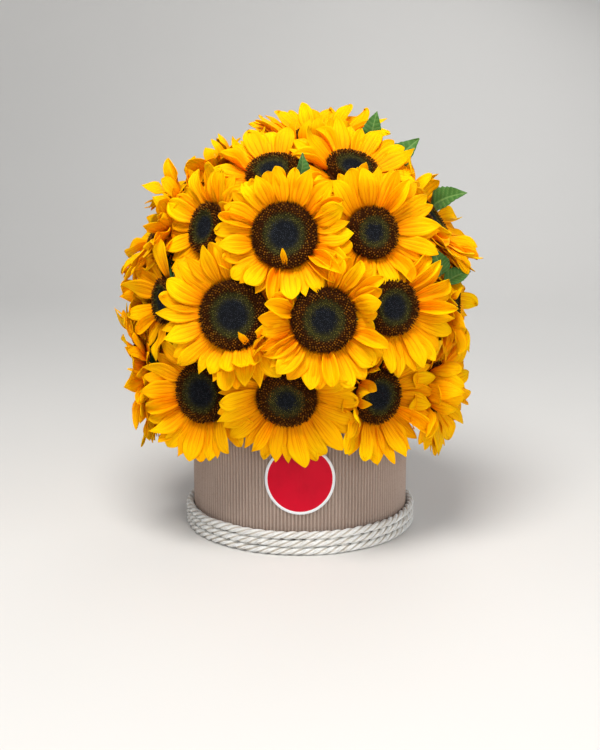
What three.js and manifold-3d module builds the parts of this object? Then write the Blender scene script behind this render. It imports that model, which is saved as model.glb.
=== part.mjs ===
// A domed bunch of sunflowers in a round box wrapped in corrugated card, with rope wound round its foot.
// Millimetres, +Z up. The origin is the middle of the box's base, on the surface it stands on.
// Azimuths are in degrees round the box from the front (-Y) towards +X. Elevations are above the horizon.

import * as THREE from 'three';
import { mergeVertices } from 'three/addons/utils/BufferGeometryUtils.js';
import Module from 'manifold-3d';

const wasm = await Module();
wasm.setup();
const { Manifold, Mesh } = wasm;

// ---------------------------------------------------------------- driving dimensions

const SEAT_GAP = 0.3;               // between two pieces that rest on each other

// Box, wrap, rope and sticker
const WRAP_CREST_RADIUS = 101.5;
const WRAP_VALLEY_RADIUS = 99.9;
const WRAP_INNER_RADIUS = 99.1;
const WRAP_INSET = 0.6;             // of its two edges from the box's rim and base
const FLUTES = 60;
const BOX_HEIGHT = 145;
const BOX_WALL = 2;
const BOX_BASE = 3;
const BOX_SIDES = 40;
const ROPE_DIAMETER = 7;
const ROPE_TURNS = 3;
const ROPE_STEPS_PER_TURN = 25;
const ROPE_SIDES = 6;
const ROPE_CLIMB = 0.1;             // share of a turn, at the back, in which it climbs to the next turn
const LABEL_RADIUS = 32;
const LABEL_HEIGHT = 69;            // of its middle above the base
const LABEL_THICKNESS = 0.6;
const LABEL_STRIPS = 12;
const LABEL_GAP = 0.4;              // from the flutes' crests
const LABEL_END = 0.2;              // radians of its rim that each short end takes

// Foam
// Share of its radius and height, from its edge below the box's rim to its top
const FOAM_DOME = [[1, 139], [0.85, 152], [0.66, 179], [0.38, 202], [0, 211]];
const FOAM_SIDES = 14;
const HOLE_CLEARANCE = 0.4;         // round each stem
const HOLE_SIDES = 5;

// Dome on which the middles of the seed discs lie: a sphere above its middle, a taller ellipse below
const DOME_MIDDLE = 215;
const DOME_RADIUS = 141;
const DOME_DROP = 170;
const DOME_BACK = 0.1;              // how much flatter the far side is above the box
const LOWEST_BLOOM = 148;
const NOD_ABOVE = 1.2;              // share of the dome's own slope that hidden heads take above its middle
const NOD_BELOW = 0.35;             // and below it

// Flower heads
const PETALS = 17;
const CUP = 20;                     // degrees that a free petal rises above the plane of the disc
const LAYER_LIFT = 5;               // more for every other petal and less for the ones between
const LIFT_VARIATION = 2;
const TWIST_VARIATION = 8;
const SIZE_VARIATION = 0.06;
const PETAL_WIDTH = 17;
const ROOT_WIDTH = 7.4;             // of a petal where it leaves the ring
const RING_DEPTH = 5.6;             // the fleshy ring that carries the petals
const RING_OVERHANG = 1.5;          // of the ring past the disc
const STEM_RADIUS = 4.5;
const STEM_BEND = 38;               // how far behind its disc a stem bends towards the foam
const LOWEST_BEND = 160;            // so that the stems of the lowest flowers pass over the box's rim
const STEM_END = 8;                 // how deep it ends in the knot in the foam
const SEPALS = 6;
const SEPAL_REACH = 17;
const SEPAL_SHARES = [1, 0.75, 0.5, 0.3];   // of that reach, tried in turn where a neighbour is near
const SEPAL_SWEEP = 0.35;           // how far a sepal is swept back, as a share of its reach
const HUB = new THREE.Vector3(0, 0, 160);   // where the stems come together in the foam
const HUB_RADIUS = 30;
const PETAL_CLEARANCE = 0.35;       // between petals of two flowers, and between two petals of one
const SEED = 20;

const YELLOW = 0xf7b500;
const BROWN = 0x3a2213;
const GREEN = 0x4f7a35;
const FOAM_GREEN = 0x2f5a36;
const CARD = 0xb49a80;
const KRAFT = 0xa58d78;
const CREAM = 0xe6dcc4;
const RED = 0xc4101f;

// Flowers whose faces show from the front. azimuth and height give the middle of the disc on the dome,
// faces is the way the flower looks, and rank is its place in the order from the topmost to the deepest.
// open is the share of its disc's radius that neighbours leave in view, and proud is how far it stands out.
const SEEN = [
  { azimuth: -20, height: 337, faces: [-18, 56], disc: 22.5, petal: 33, rank: 12, open: 0.4 },
  { azimuth: 42, height: 338, faces: [22, 55], disc: 23, petal: 36, rank: 6, open: 0.6 },
  { azimuth: -42, height: 291, faces: [-52, 16], disc: 21.5, petal: 33, rank: 7, open: 0.6 },
  { azimuth: -6, height: 288, faces: [-4, 16], disc: 27, petal: 31, rank: 1, proud: 6 },
  { azimuth: 31, height: 289, faces: [16, 15], disc: 21.5, petal: 37, rank: 3 },
  { azimuth: -57, height: 226, faces: [-60, 6], disc: 19.5, petal: 37, rank: 10, open: 0.5 },
  { azimuth: -23, height: 223, faces: [-12, 8], disc: 29, petal: 36, rank: 4, proud: 3 },
  { azimuth: 8, height: 221, faces: [4, 5], disc: 27, petal: 34, rank: 2, proud: 3 },
  { azimuth: 34, height: 227, faces: [26, 8], disc: 23.5, petal: 36, rank: 5 },
  { azimuth: -41, height: 148, faces: [-29, 4], disc: 26, petal: 36, rank: 11 },
  { azimuth: -5, height: 150, faces: [-5, -15], disc: 25, petal: 38, rank: 8 },
  { azimuth: 31, height: 148, faces: [34, 3], disc: 23.5, petal: 37, rank: 9 },
  { azimuth: 66, height: 143, faces: [63, 0], disc: 22, petal: 43, rank: 13, proud: 6 },
];
// Flowers at the edge of that view, which show little more than their petals. Those without a way to look
// face straight out of the dome.
const EDGE = [
  { azimuth: -84, height: 286 },
  { azimuth: 78, height: 294 },
  { azimuth: 78, height: 222 },
  { azimuth: -86, height: 150, proud: 15 },
  { azimuth: -97, height: 220 },
  { azimuth: -101, height: 326 },
  { azimuth: 152, height: 351, faces: [0, 74], proud: 8, open: 0.2 },
];
// The rest are spread evenly over the far side, from rows of so many at such a height.
const BACK_ROWS = [[3, 152], [2, 226], [2, 300]];
const BACK_ARC = 190;
const BACK_STAGGER = 22;
const SPREAD_ROUNDS = 300;
const SPREAD_REACH = 90;            // the distance at which two flowers push each other apart by one step
const SPREAD_STEP = 0.01;
const BACK_DISC = 27;
const BACK_PETAL = 41;
const BACK_VARIATION = 1.5;
const VIEW_SHARE = 0.9;             // of a disc's radius that neighbours should leave in view
const VIEW_LEAN = 0.8;              // how far the space kept open before a disc leans to the viewer

// Leaves that stand between the flowers: where the blade starts, where its tip is, and the way its face looks
const LEAVES = [
  { base: [64, 8, 354], tip: [70, 5, 386], faces: [-10, 20] },
  { base: [78, -2, 331], tip: [108, -6, 362], faces: [0, 30] },
  { base: [122, 18, 298], tip: [153, -2, 313], faces: [10, 35] },
  { base: [124, -72, 248], tip: [114, -84, 274], faces: [25, 0] },
  { base: [128, -66, 240], tip: [152, -52, 248], faces: [30, 50] },
  { base: [-2, -103, 330], tip: [2, -101, 356], faces: [40, 20] },
  { base: [122, 34, 216], tip: [156, 50, 226], faces: [110, 40] },
  { base: [15, 124, 212], tip: [24, 160, 226], faces: [175, 45] },
  { base: [-38, 108, 272], tip: [-50, 142, 290], faces: [195, 50] },
  { base: [-92, 96, 190], tip: [-124, 112, 200], faces: [220, 40] },
];
const LEAF_THICKNESS = 0.8;
const STALK_RADIUS = 1.4;
const STALK_SIDES = 4;
const STALK_STEPS = 3;
const STALK_OVERLAP = 3;            // of a stalk with its leaf's rib
const STALK_DIP = 0.15;             // share of the way to the middle that a stalk dips on its way
const LEAF_NUDGES = [0, 4, 8, 12, 16, 20];

// The ways a petal may be bent to pass its neighbours, tried in order of how much each one changes it
const BENDS = [0, -6, 6, -12, 12, -19, 19, -27, 27, -36, 36];
const TURNS = [0, -5, 5];
const LENGTHS = [1, 0.9, 0.8, 0.7, 0.6, 0.5];
const LENGTH_WEIGHT = 9;            // what losing its whole length counts
const BEND_UNIT = 9;                // degrees of bend that count as one
const TURN_UNIT = 8;                // and of turn

// ---------------------------------------------------------------- helpers

const radians = THREE.MathUtils.degToRad;
const UP = new THREE.Vector3(0, 0, 1);
const VIEWER = towards(0, 12);      // the way to whoever looks at the front

// A repeatable random number in -1..1.
let state = SEED;
function jitter() {
  state = (state * 1664525 + 1013904223) % 4294967296;
  return (state / 4294967296) * 2 - 1;
}

function towards(azimuth, elevation) {
  const a = radians(azimuth);
  const e = radians(elevation);
  return new THREE.Vector3(Math.sin(a) * Math.cos(e), -Math.cos(a) * Math.cos(e), Math.sin(e));
}

function solidOf(geometry) {
  const bare = geometry.clone();
  bare.deleteAttribute('normal');
  bare.deleteAttribute('uv');
  bare.clearGroups();
  const merged = mergeVertices(bare, 1e-3);
  return new Manifold(new Mesh({
    numProp: 3,
    vertProperties: new Float32Array(merged.attributes.position.array),
    triVerts: new Uint32Array(merged.index.array),
  }));
}

function geometryOf(solid) {
  const mesh = solid.getMesh();
  const geometry = new THREE.BufferGeometry();
  geometry.setAttribute('position', new THREE.BufferAttribute(new Float32Array(mesh.vertProperties), 3));
  geometry.setIndex(new THREE.BufferAttribute(new Uint32Array(mesh.triVerts), 1));
  geometry.computeVertexNormals();
  return geometry;
}

// A closed body from points and faces; each face is a fan of point numbers, counter-clockwise from outside.
function bodyOf(points, faces) {
  const fan = (face) => face.slice(2).flatMap((_, i) => [face[0], face[i + 1], face[i + 2]]);
  const index = faces.flatMap(fan);
  const geometry = new THREE.BufferGeometry();
  geometry.setAttribute('position', new THREE.Float32BufferAttribute(points.flatMap((p) => p.toArray()), 3));
  geometry.setIndex(index);
  return geometry;
}

// A profile of [radius, height] pairs turned round Z.
function turned(profile, sides) {
  const lathe = new THREE.LatheGeometry(profile.map(([r, z]) => new THREE.Vector2(r, z)), sides);
  return lathe.rotateX(Math.PI / 2);
}

function tube(curve, radius, sides, steps) {
  const section = new THREE.Shape();
  for (let i = 0; i < sides; i++) {
    const a = (2 * Math.PI * i) / sides;
    section[i ? 'lineTo' : 'moveTo'](radius * Math.cos(a), radius * Math.sin(a));
  }
  return new THREE.ExtrudeGeometry(section, { steps, extrudePath: curve, curveSegments: 1 });
}

function union(solids) {
  return solids.reduce((whole, piece) => whole.add(piece));
}

// ---------------------------------------------------------------- where the flowers stand

function domeRadius(height) {
  const below = height < DOME_MIDDLE;
  const share = (height - DOME_MIDDLE) / (below ? DOME_DROP : DOME_RADIUS);
  return DOME_RADIUS * Math.sqrt(1 - share * share);
}

function backShare(y, height) {
  return y > 0 ? 1 - DOME_BACK * THREE.MathUtils.smoothstep(height, LOWEST_BLOOM, DOME_MIDDLE) : 1;
}

function onDome(azimuth, height) {
  const r = domeRadius(height);
  const y = -r * Math.cos(radians(azimuth));
  return new THREE.Vector3(r * Math.sin(radians(azimuth)), y * backShare(y, height), height);
}

// The way a hidden head looks: out of the dome, more upright above its middle and flatter below it.
function outward(point) {
  const rise = (point.z - DOME_MIDDLE) * (point.z < DOME_MIDDLE ? NOD_BELOW : NOD_ABOVE);
  return new THREE.Vector3(point.x, point.y, rise).normalize();
}

// The nearest place on the dome for the middle of a disc, not below the lowest flowers.
function ontoDome(point) {
  const squash = point.z < DOME_MIDDLE ? DOME_RADIUS / DOME_DROP : 1;
  const y = point.y / backShare(point.y, point.z);
  const from = new THREE.Vector3(point.x, y, (point.z - DOME_MIDDLE) * squash);
  from.setLength(DOME_RADIUS);
  const height = Math.max(from.z / squash + DOME_MIDDLE, LOWEST_BLOOM);
  return onDome(THREE.MathUtils.radToDeg(Math.atan2(from.x, -from.y)), height);
}

// The far side's flowers start in rows and push one another apart, staying on the dome.
function spreadBack(fixed) {
  const free = BACK_ROWS.flatMap(([count, height], row) => Array.from({ length: count }, (_, i) =>
    onDome(180 + ((i + 0.5) / count - 0.5) * BACK_ARC + (row % 2) * BACK_STAGGER, height)));
  for (let round = 0; round < SPREAD_ROUNDS; round++) {
    for (const point of free) {
      const push = new THREE.Vector3();
      for (const other of [...fixed, ...free]) {
        if (other === point) continue;
        const apart = point.clone().sub(other);
        push.addScaledVector(apart, (SPREAD_REACH / apart.length()) ** 5);
      }
      point.copy(ontoDome(point.addScaledVector(push, SPREAD_STEP)));
    }
  }
  return free;
}

function bloomAt(bloom) {
  const turn = new THREE.Quaternion().setFromUnitVectors(UP, bloom.facing);
  const matrix = new THREE.Matrix4().compose(bloom.middle, turn, new THREE.Vector3(1, 1, 1));
  return { seenFrom: bloom.facing, ...bloom, turn, matrix };
}

function layOutBlooms() {
  const seen = SEEN.map(({ azimuth, height, faces, disc, petal, rank, open = VIEW_SHARE, proud = 0 }) => {
    const facing = towards(...faces);
    const middle = onDome(azimuth, height).addScaledVector(facing, proud);
    const seenFrom = facing.clone().lerp(VIEWER, VIEW_LEAN).normalize();
    return bloomAt({ middle, facing, disc, petal, rank, open, seenFrom });
  });
  const edge = EDGE.map(({ azimuth, height, faces, open, proud = 0 }) => {
    const middle = onDome(azimuth, height);
    const facing = faces ? towards(...faces) : outward(middle);
    return { middle: middle.addScaledVector(facing, proud), facing, open };
  });
  const back = spreadBack([...seen, ...edge].map((bloom) => bloom.middle));
  const free = back.map((middle) => ({ middle, facing: outward(middle) }));
  const rest = [...edge, ...free].map(({ middle, facing, open = VIEW_SHARE }, i) => bloomAt({
    middle,
    facing,
    open,
    disc: BACK_DISC + BACK_VARIATION * jitter(),
    petal: BACK_PETAL + BACK_VARIATION * jitter(),
    rank: SEEN.length + 1 + i,
  }));
  return [...seen, ...rest];
}

// ---------------------------------------------------------------- one flower, +Z out of its face

const DISC_SIDES = 10;
const DISC_RINGS = [[0.8, 5.4], [0.42, 4.4]];   // share of its radius and height
const DISC_HOLLOW = 3.4;
const VIEW_START = 7;
const VIEW_END = 55;
const FLORET_RELIEF = 0.9;
const CALYX_DEPTH = 17;
const CALYX_SHARE = 0.8;            // of the disc's radius

// Florets raised by a formula: every other one of a ring stands up, shifted by a step from ring to ring.
function discGeometry(radius) {
  const rings = DISC_RINGS.map(([share, height]) => [share * radius, height]);
  const geometry = turned([[0, 0], [radius, 0], ...rings, [0, DISC_HOLLOW]], DISC_SIDES);
  const position = geometry.attributes.position;
  for (let i = 0; i < position.count; i++) {
    const r = Math.hypot(position.getX(i), position.getY(i));
    if (position.getZ(i) <= DISC_HOLLOW) continue;
    const ring = 2 * r > rings[0][0] + rings[1][0] ? 0 : Math.PI;
    const angle = Math.atan2(position.getY(i), position.getX(i));
    position.setZ(i, position.getZ(i) + FLORET_RELIEF * Math.cos((DISC_SIDES / 2) * angle + ring));
  }
  return geometry;
}

// The fleshy ring that carries the petals: a thick plate, thinner at its rim, where each petal is a wedge.
const ringEdge = (radius) => radius + RING_OVERHANG;
const RING_MIDDLE = [-SEAT_GAP, -RING_DEPTH - SEAT_GAP];
const RING_RIM = [-1.8, -4.6];

function ringGeometry(radius) {
  const edge = ringEdge(radius);
  const profile = [[0, RING_MIDDLE[1]], [edge, RING_RIM[1]], [edge, RING_RIM[0]], [0, RING_MIDDLE[0]]];
  return turned(profile, DISC_SIDES);
}

function inPlane(distance, angle, z) {
  return new THREE.Vector3(distance * Math.cos(angle), distance * Math.sin(angle), z);
}

const petalAngle = (i) => (2 * Math.PI * i) / PETALS;

// Left, right and ridge of the wedge that a petal starts from.
function petalRoot(radius, i) {
  const spread = ROOT_WIDTH / 2 / ringEdge(radius);
  return [
    inPlane(ringEdge(radius), petalAngle(i) - spread, RING_RIM[1]),
    inPlane(ringEdge(radius), petalAngle(i) + spread, RING_RIM[1]),
    inPlane(ringEdge(radius), petalAngle(i), RING_RIM[0]),
  ];
}

// The two places where a petal's width is given, as shares: how far on from the last one, its slope past
// the petal's own lift, and its half width. Its ridge is in millimetres. Its tip droops.
const PETAL_SPOTS = [
  { step: 0.32, slope: 5, half: 0.46, ridge: 1.5 },
  { step: 0.38, slope: 0, half: 0.48, ridge: 1.3 },
];
const PETAL_TIP = { step: 0.3, slope: -12, ridge: 0.4 };
const PETAL_START = -3.8;

// A ray petal as a low roof past its root: left, right and ridge at each spot, then its tip.
function petalPoints({ radius, length, lift, angle, twist, width }) {
  const at = new THREE.Vector2(ringEdge(radius), PETAL_START);
  const go = (slope, share) => {
    const step = new THREE.Vector2(Math.cos(radians(slope)), Math.sin(radians(slope)));
    return at.addScaledVector(step, share * length).clone();
  };
  const across = new THREE.Vector3(0, Math.cos(radians(twist)), Math.sin(radians(twist)));
  const points = PETAL_SPOTS.flatMap((spot) => {
    const { x, y } = go(lift + spot.slope, spot.step);
    return [
      new THREE.Vector3(x, 0, y).addScaledVector(across, -spot.half * width),
      new THREE.Vector3(x, 0, y).addScaledVector(across, spot.half * width),
      new THREE.Vector3(x, 0, y + spot.ridge),
    ];
  });
  const tip = go(lift + PETAL_TIP.slope, PETAL_TIP.step);
  points.push(new THREE.Vector3(tip.x, 0, tip.y + PETAL_TIP.ridge));
  const turn = new THREE.Matrix4().makeRotationZ(angle);
  return points.map((point) => point.applyMatrix4(turn));
}

// The faces of a petal from its ten points: three at its root, three at each station and its tip.
function petalFaces(of) {
  const faces = [];
  for (const k of [0, 3]) {
    faces.push([k + 1, k + 4, k + 3, k], [k + 2, k + 5, k + 4, k + 1], [k, k + 3, k + 5, k + 2]);
  }
  faces.push([7, 9, 6], [8, 9, 7], [6, 9, 8]);
  return faces.map((face) => face.map((corner) => of[corner]));
}

function petalGeometry(root, points) {
  const own = [0, 1, 2, 3, 4, 5, 6, 7, 8, 9];
  return bodyOf([...root, ...points], [[2, 1, 0], ...petalFaces(own)]);
}

// The ring and its petals as one body. A petal without points is left out.
function flowerGeometry(radius, petals) {
  const points = RING_MIDDLE.map((z) => new THREE.Vector3(0, 0, z));
  const [top, bottom] = [0, 1];
  const roots = petals.map((_, i) => {
    points.push(...petalRoot(radius, i));
    return [points.length - 3, points.length - 2, points.length - 1];
  });
  const faces = [];
  roots.forEach((root, i) => {
    const [left, right, ridge] = root;
    const [nextLeft, , nextRidge] = roots[(i + 1) % roots.length];
    faces.push([top, ridge, nextRidge], [bottom, right, left], [bottom, nextLeft, right]);
    faces.push([right, nextLeft, nextRidge, ridge]);
    if (!petals[i]) {
      faces.push([left, right, ridge]);
      return;
    }
    const first = points.length;
    points.push(...petals[i]);
    faces.push(...petalFaces([...root, ...petals[i].map((_, k) => first + k)]));
  });
  return bodyOf(points, faces);
}

const calyxTop = -RING_DEPTH - 2 * SEAT_GAP;
const calyxEdge = (radius) => CALYX_SHARE * radius;

const sepalAngle = (i) => (2 * Math.PI * i) / SEPALS;

function sepalTip(radius, reach, i) {
  return inPlane(radius + reach, sepalAngle(i), calyxTop - SEPAL_SWEEP * reach);
}

// The part of a calyx that one sepal adds, to try it against its neighbours.
function sepalGeometry(radius, reach, i) {
  const edge = calyxEdge(radius);
  return bodyOf([
    inPlane(edge, sepalAngle(i - 0.5), calyxTop),
    inPlane(edge, sepalAngle(i + 0.5), calyxTop),
    inPlane(STEM_RADIUS, sepalAngle(i), calyxTop - CALYX_DEPTH),
    sepalTip(radius, reach, i),
  ], [[1, 0, 2], [3, 1, 2], [0, 3, 2], [1, 3, 0]]);
}

// A cup that ends in a star, a pointed sepal between each two points of its edge, and goes on as the stem.
// stem gives the middles of the stem's rings, in the flower's frame, from the cup's foot to its far end.
function calyxGeometry(radius, reaches, stem) {
  const points = [new THREE.Vector3(0, 0, calyxTop), stem[stem.length - 1].clone()];
  for (let i = 0; i < SEPALS; i++) {
    const edge = calyxEdge(radius);
    points.push(reaches[i] ? sepalTip(radius, reaches[i], i) : inPlane(edge, sepalAngle(i), calyxTop));
    points.push(inPlane(edge, sepalAngle(i + 0.5), calyxTop));
    for (const middle of stem) points.push(inPlane(STEM_RADIUS, sepalAngle(i), 0).add(middle));
  }
  const size = stem.length + 2;
  const faces = [];
  for (let i = 0; i < SEPALS; i++) {
    const own = 2 + size * i;
    const next = 2 + size * ((i + 1) % SEPALS);
    faces.push([0, own, own + 1], [0, own + 1, next]);
    faces.push([own + 2, own + 1, own], [own + 2, next + 2, own + 1], [next + 2, next, own + 1]);
    for (let k = 2; k < size - 1; k++) faces.push([own + k, own + k + 1, next + k + 1, next + k]);
    faces.push([1, next + size - 1, own + size - 1]);
  }
  return bodyOf(points, faces);
}

// ---------------------------------------------------------------- stems and leaves

// The knot in the middle of the foam where the stems meet.
function hubSolid(radius) {
  return solidOf(new THREE.IcosahedronGeometry(radius, 0).translate(...HUB.toArray()));
}

// Middles of a stem's rings, from the foot of the calyx past a bend to the middle of the foam.
function stemLine(bloom) {
  const back = (distance) => bloom.middle.clone().addScaledVector(bloom.facing, -distance);
  const bend = back(STEM_BEND);
  bend.z = Math.max(bend.z, LOWEST_BEND);
  const end = bend.clone().sub(HUB).setLength(HUB_RADIUS - STEM_END).add(HUB);
  return [back(-calyxTop + CALYX_DEPTH), bend, end];
}

// A leaf's stalk grows from the nearest flower's stem, a little below its bend.
function stalkCurve({ base, tip }, blooms) {
  const start = new THREE.Vector3(...base);
  const along = new THREE.Vector3(...tip).sub(start).normalize();
  const joints = blooms.map((bloom) => stemLine(bloom)[1].lerp(HUB, STALK_DIP));
  joints.sort((a, b) => a.distanceTo(start) - b.distanceTo(start));
  const inward = start.clone().lerp(HUB, STALK_DIP);
  return new THREE.CatmullRomCurve3([start.addScaledVector(along, STALK_OVERLAP), inward, joints[0]]);
}

// A leaf's way along its rib and half width, as shares of its length: wider and narrower again for its teeth.
const LEAF_OUTLINE = [
  [0.06, 0.16], [0.2, 0.3], [0.32, 0.27], [0.46, 0.3], [0.6, 0.22], [0.74, 0.19], [0.88, 0.08],
];
const LEAF_ARCH = 0.1;              // share of its length
const LEAF_FOLD = 0.35;             // how far its sides rise, as a share of its half width

// A heart-shaped leaf, folded along its rib and arched, as a thin plate.
function leafGeometry(length) {
  const rows = LEAF_OUTLINE.map(([x, half]) => [-1, 0, 1].map((side) => {
    const rise = LEAF_ARCH * Math.sin(Math.PI * x) + Math.abs(side) * half * LEAF_FOLD;
    return new THREE.Vector3(x, side * half, rise).multiplyScalar(length);
  }));
  const top = [new THREE.Vector3(0, 0, 0), ...rows.flat(), new THREE.Vector3(length, 0, 0)];
  const under = top.length;
  const last = under - 1;
  const at = (row, side) => 1 + 3 * row + side;
  const end = rows.length - 1;
  const sheet = [[0, at(0, 1), at(0, 2)], [0, at(0, 0), at(0, 1)]];
  for (let i = 0; i < end; i++) {
    for (const side of [0, 1]) {
      sheet.push([at(i, side), at(i + 1, side), at(i + 1, side + 1), at(i, side + 1)]);
    }
  }
  sheet.push([at(end, 0), last, at(end, 1)], [at(end, 1), last, at(end, 2)]);
  const leftEdge = rows.map((_, i) => at(i, 0));
  const rightEdge = rows.map((_, i) => at(i, 2)).reverse();
  const rim = [0, ...leftEdge, last, ...rightEdge];
  const below = sheet.map((face) => [...face].reverse().map((point) => point + under));
  const border = rim.map((p, i) => {
    const q = rim[(i + 1) % rim.length];
    return [q, p, p + under, q + under];
  });
  const drop = new THREE.Vector3(0, 0, -LEAF_THICKNESS);
  return bodyOf([...top, ...top.map((p) => p.clone().add(drop))], [...sheet, ...below, ...border]);
}

function placedLeaf({ base, tip, faces }) {
  const start = new THREE.Vector3(...base);
  const along = new THREE.Vector3(...tip).sub(start);
  const length = along.length();
  along.normalize();
  const side = towards(...faces).cross(along).normalize();
  const basis = new THREE.Matrix4().makeBasis(along, side, along.clone().cross(side)).setPosition(start);
  return leafGeometry(length).applyMatrix4(basis);
}

// ---------------------------------------------------------------- putting the flowers together

// What is already in place, so that later pieces are bent clear of it.
class Placed {
  constructor() {
    this.pieces = [];
  }

  add(solid) {
    this.pieces.push({ solid, box: solid.boundingBox() });
    return solid;
  }

  // Whether a solid is clear of everything but one piece, which it grows from.
  isClear(solid, parent) {
    const { min, max } = solid.boundingBox();
    const near = (piece) => [0, 1, 2].every((i) =>
      piece.box.min[i] < max[i] + PETAL_CLEARANCE && piece.box.max[i] > min[i] - PETAL_CLEARANCE);
    return this.pieces.every((piece) => piece.solid === parent || !near(piece)
      || piece.solid.minGap(solid, 2 * PETAL_CLEARANCE) >= PETAL_CLEARANCE);
  }
}

const ways = LENGTHS.flatMap((length) =>
  BENDS.flatMap((bend) => TURNS.map((turn) => ({ length, bend, turn }))));
const change = ({ length, bend, turn }) =>
  (1 - length) * LENGTH_WEIGHT + Math.abs(bend) / BEND_UNIT + Math.abs(turn) / TURN_UNIT;
ways.sort((a, b) => change(a) - change(b));

// The space in front of a disc, which a neighbour's petals are bent or shortened to leave open.
// It leans towards the way the flower is looked at from.
function viewGeometry(bloom) {
  const seenFrom = bloom.seenFrom.clone().applyQuaternion(bloom.turn.clone().invert());
  const lean = new THREE.Matrix4().set(
    1, 0, seenFrom.x / seenFrom.z, 0,
    0, 1, seenFrom.y / seenFrom.z, 0,
    0, 0, 1, 0,
    0, 0, 0, 1,
  );
  const radius = bloom.open * bloom.disc;
  return turned([[0, VIEW_START], [radius, VIEW_START], [radius, VIEW_END], [0, VIEW_END]], DISC_SIDES)
    .applyMatrix4(lean)
    .applyMatrix4(bloom.matrix);
}

function growPetals(bloom, placed, views) {
  return Array.from({ length: PETALS }, (_, i) => {
    const root = petalRoot(bloom.disc, i);
    const own = {
      radius: bloom.disc,
      length: bloom.petal * (1 + SIZE_VARIATION * jitter()),
      lift: CUP + (i % 2 ? LAYER_LIFT : -LAYER_LIFT) + LIFT_VARIATION * jitter(),
      angle: petalAngle(i) + radians(jitter()),
      twist: TWIST_VARIATION * jitter(),
      width: PETAL_WIDTH * (1 + SIZE_VARIATION * jitter()),
    };
    let covering = null;
    for (const way of ways) {
      const points = petalPoints({
        ...own,
        length: own.length * way.length,
        lift: own.lift + way.bend,
        angle: own.angle + radians(way.turn),
      });
      const solid = solidOf(petalGeometry(root, points).applyMatrix4(bloom.matrix));
      if (!placed.isClear(solid, bloom.ring)) continue;
      covering ??= { points, solid };
      if (!views.isClear(solid, bloom.view)) continue;
      placed.add(solid);
      return points;
    }
    if (covering) placed.add(covering.solid);
    return covering && covering.points;
  });
}

function growCalyx(bloom, placed) {
  const reaches = Array.from({ length: SEPALS }, (_, i) => {
    const isFree = (reach) => placed.isClear(
      solidOf(sepalGeometry(bloom.disc, reach, i).applyMatrix4(bloom.matrix)), bloom.ring);
    return SEPAL_SHARES.map((share) => share * SEPAL_REACH).find(isFree) ?? 0;
  });
  const stem = stemLine(bloom).map((middle) => middle.applyMatrix4(bloom.matrix.clone().invert()));
  return solidOf(calyxGeometry(bloom.disc, reaches, stem).applyMatrix4(bloom.matrix));
}

// A leaf and its stalk, moved out of the dome as far as it takes to pass the flower heads.
function growLeaf({ base, tip, faces }, blooms, placed) {
  const away = new THREE.Vector3(...base).sub(new THREE.Vector3(0, 0, DOME_MIDDLE)).normalize();
  const moved = (point, distance) => new THREE.Vector3(...point).addScaledVector(away, distance).toArray();
  for (const distance of LEAF_NUDGES) {
    const leaf = { base: moved(base, distance), tip: moved(tip, distance), faces };
    const stalk = tube(stalkCurve(leaf, blooms), STALK_RADIUS, STALK_SIDES, STALK_STEPS);
    const pieces = [placedLeaf(leaf), stalk].map(solidOf);
    if (pieces.every((piece) => placed.isClear(piece))) return pieces;
  }
  return [];
}

function buildFlowers() {
  const blooms = layOutBlooms();
  const placed = new Placed();
  for (const bloom of blooms) {
    bloom.seeds = placed.add(solidOf(discGeometry(bloom.disc).applyMatrix4(bloom.matrix)));
    bloom.ring = placed.add(solidOf(ringGeometry(bloom.disc).applyMatrix4(bloom.matrix)));
  }
  const greens = blooms.map((bloom) => growCalyx(bloom, placed));
  for (const leaf of LEAVES) greens.push(...growLeaf(leaf, blooms, placed));
  greens.forEach((piece) => placed.add(piece));
  const views = new Placed();
  for (const bloom of blooms) bloom.view = views.add(solidOf(viewGeometry(bloom)));
  const byRank = [...blooms].sort((a, b) => a.rank - b.rank);
  for (const bloom of byRank) bloom.petals = growPetals(bloom, placed, views);
  return { blooms, greens: union([hubSolid(HUB_RADIUS), ...greens]) };
}

// ---------------------------------------------------------------- foam, box, wrap, rope and sticker

const boxRadius = WRAP_INNER_RADIUS - SEAT_GAP;
const boxInside = boxRadius - BOX_WALL;

function buildFoam(blooms) {
  const r = boxInside - SEAT_GAP;
  const floor = BOX_BASE + SEAT_GAP;
  const profile = [[0, floor], [r, floor], ...FOAM_DOME.map(([share, height]) => [share * r, height])];
  const holes = blooms.map((bloom) => {
    const [, bend, end] = stemLine(bloom);
    const holeRadius = (STEM_RADIUS + HOLE_CLEARANCE) / Math.cos(Math.PI / HOLE_SIDES);
    return solidOf(tube(new THREE.LineCurve3(bend, end), holeRadius, HOLE_SIDES, 1));
  });
  const room = hubSolid(HUB_RADIUS + HOLE_CLEARANCE);
  return solidOf(turned(profile, FOAM_SIDES)).subtract(union([room, ...holes]));
}

function boxGeometry() {
  const outside = [[0, 0], [boxRadius, 0], [boxRadius, BOX_HEIGHT]];
  const inside = [[boxInside, BOX_HEIGHT], [boxInside, BOX_BASE], [0, BOX_BASE]];
  return turned([...outside, ...inside], BOX_SIDES);
}

function ringOf(path, sides, radiusAt) {
  for (let i = 0; i < sides; i++) {
    const a = (2 * Math.PI * i) / sides;
    path[i ? 'lineTo' : 'moveTo'](radiusAt(i) * Math.sin(a), -radiusAt(i) * Math.cos(a));
  }
  return path;
}

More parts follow.
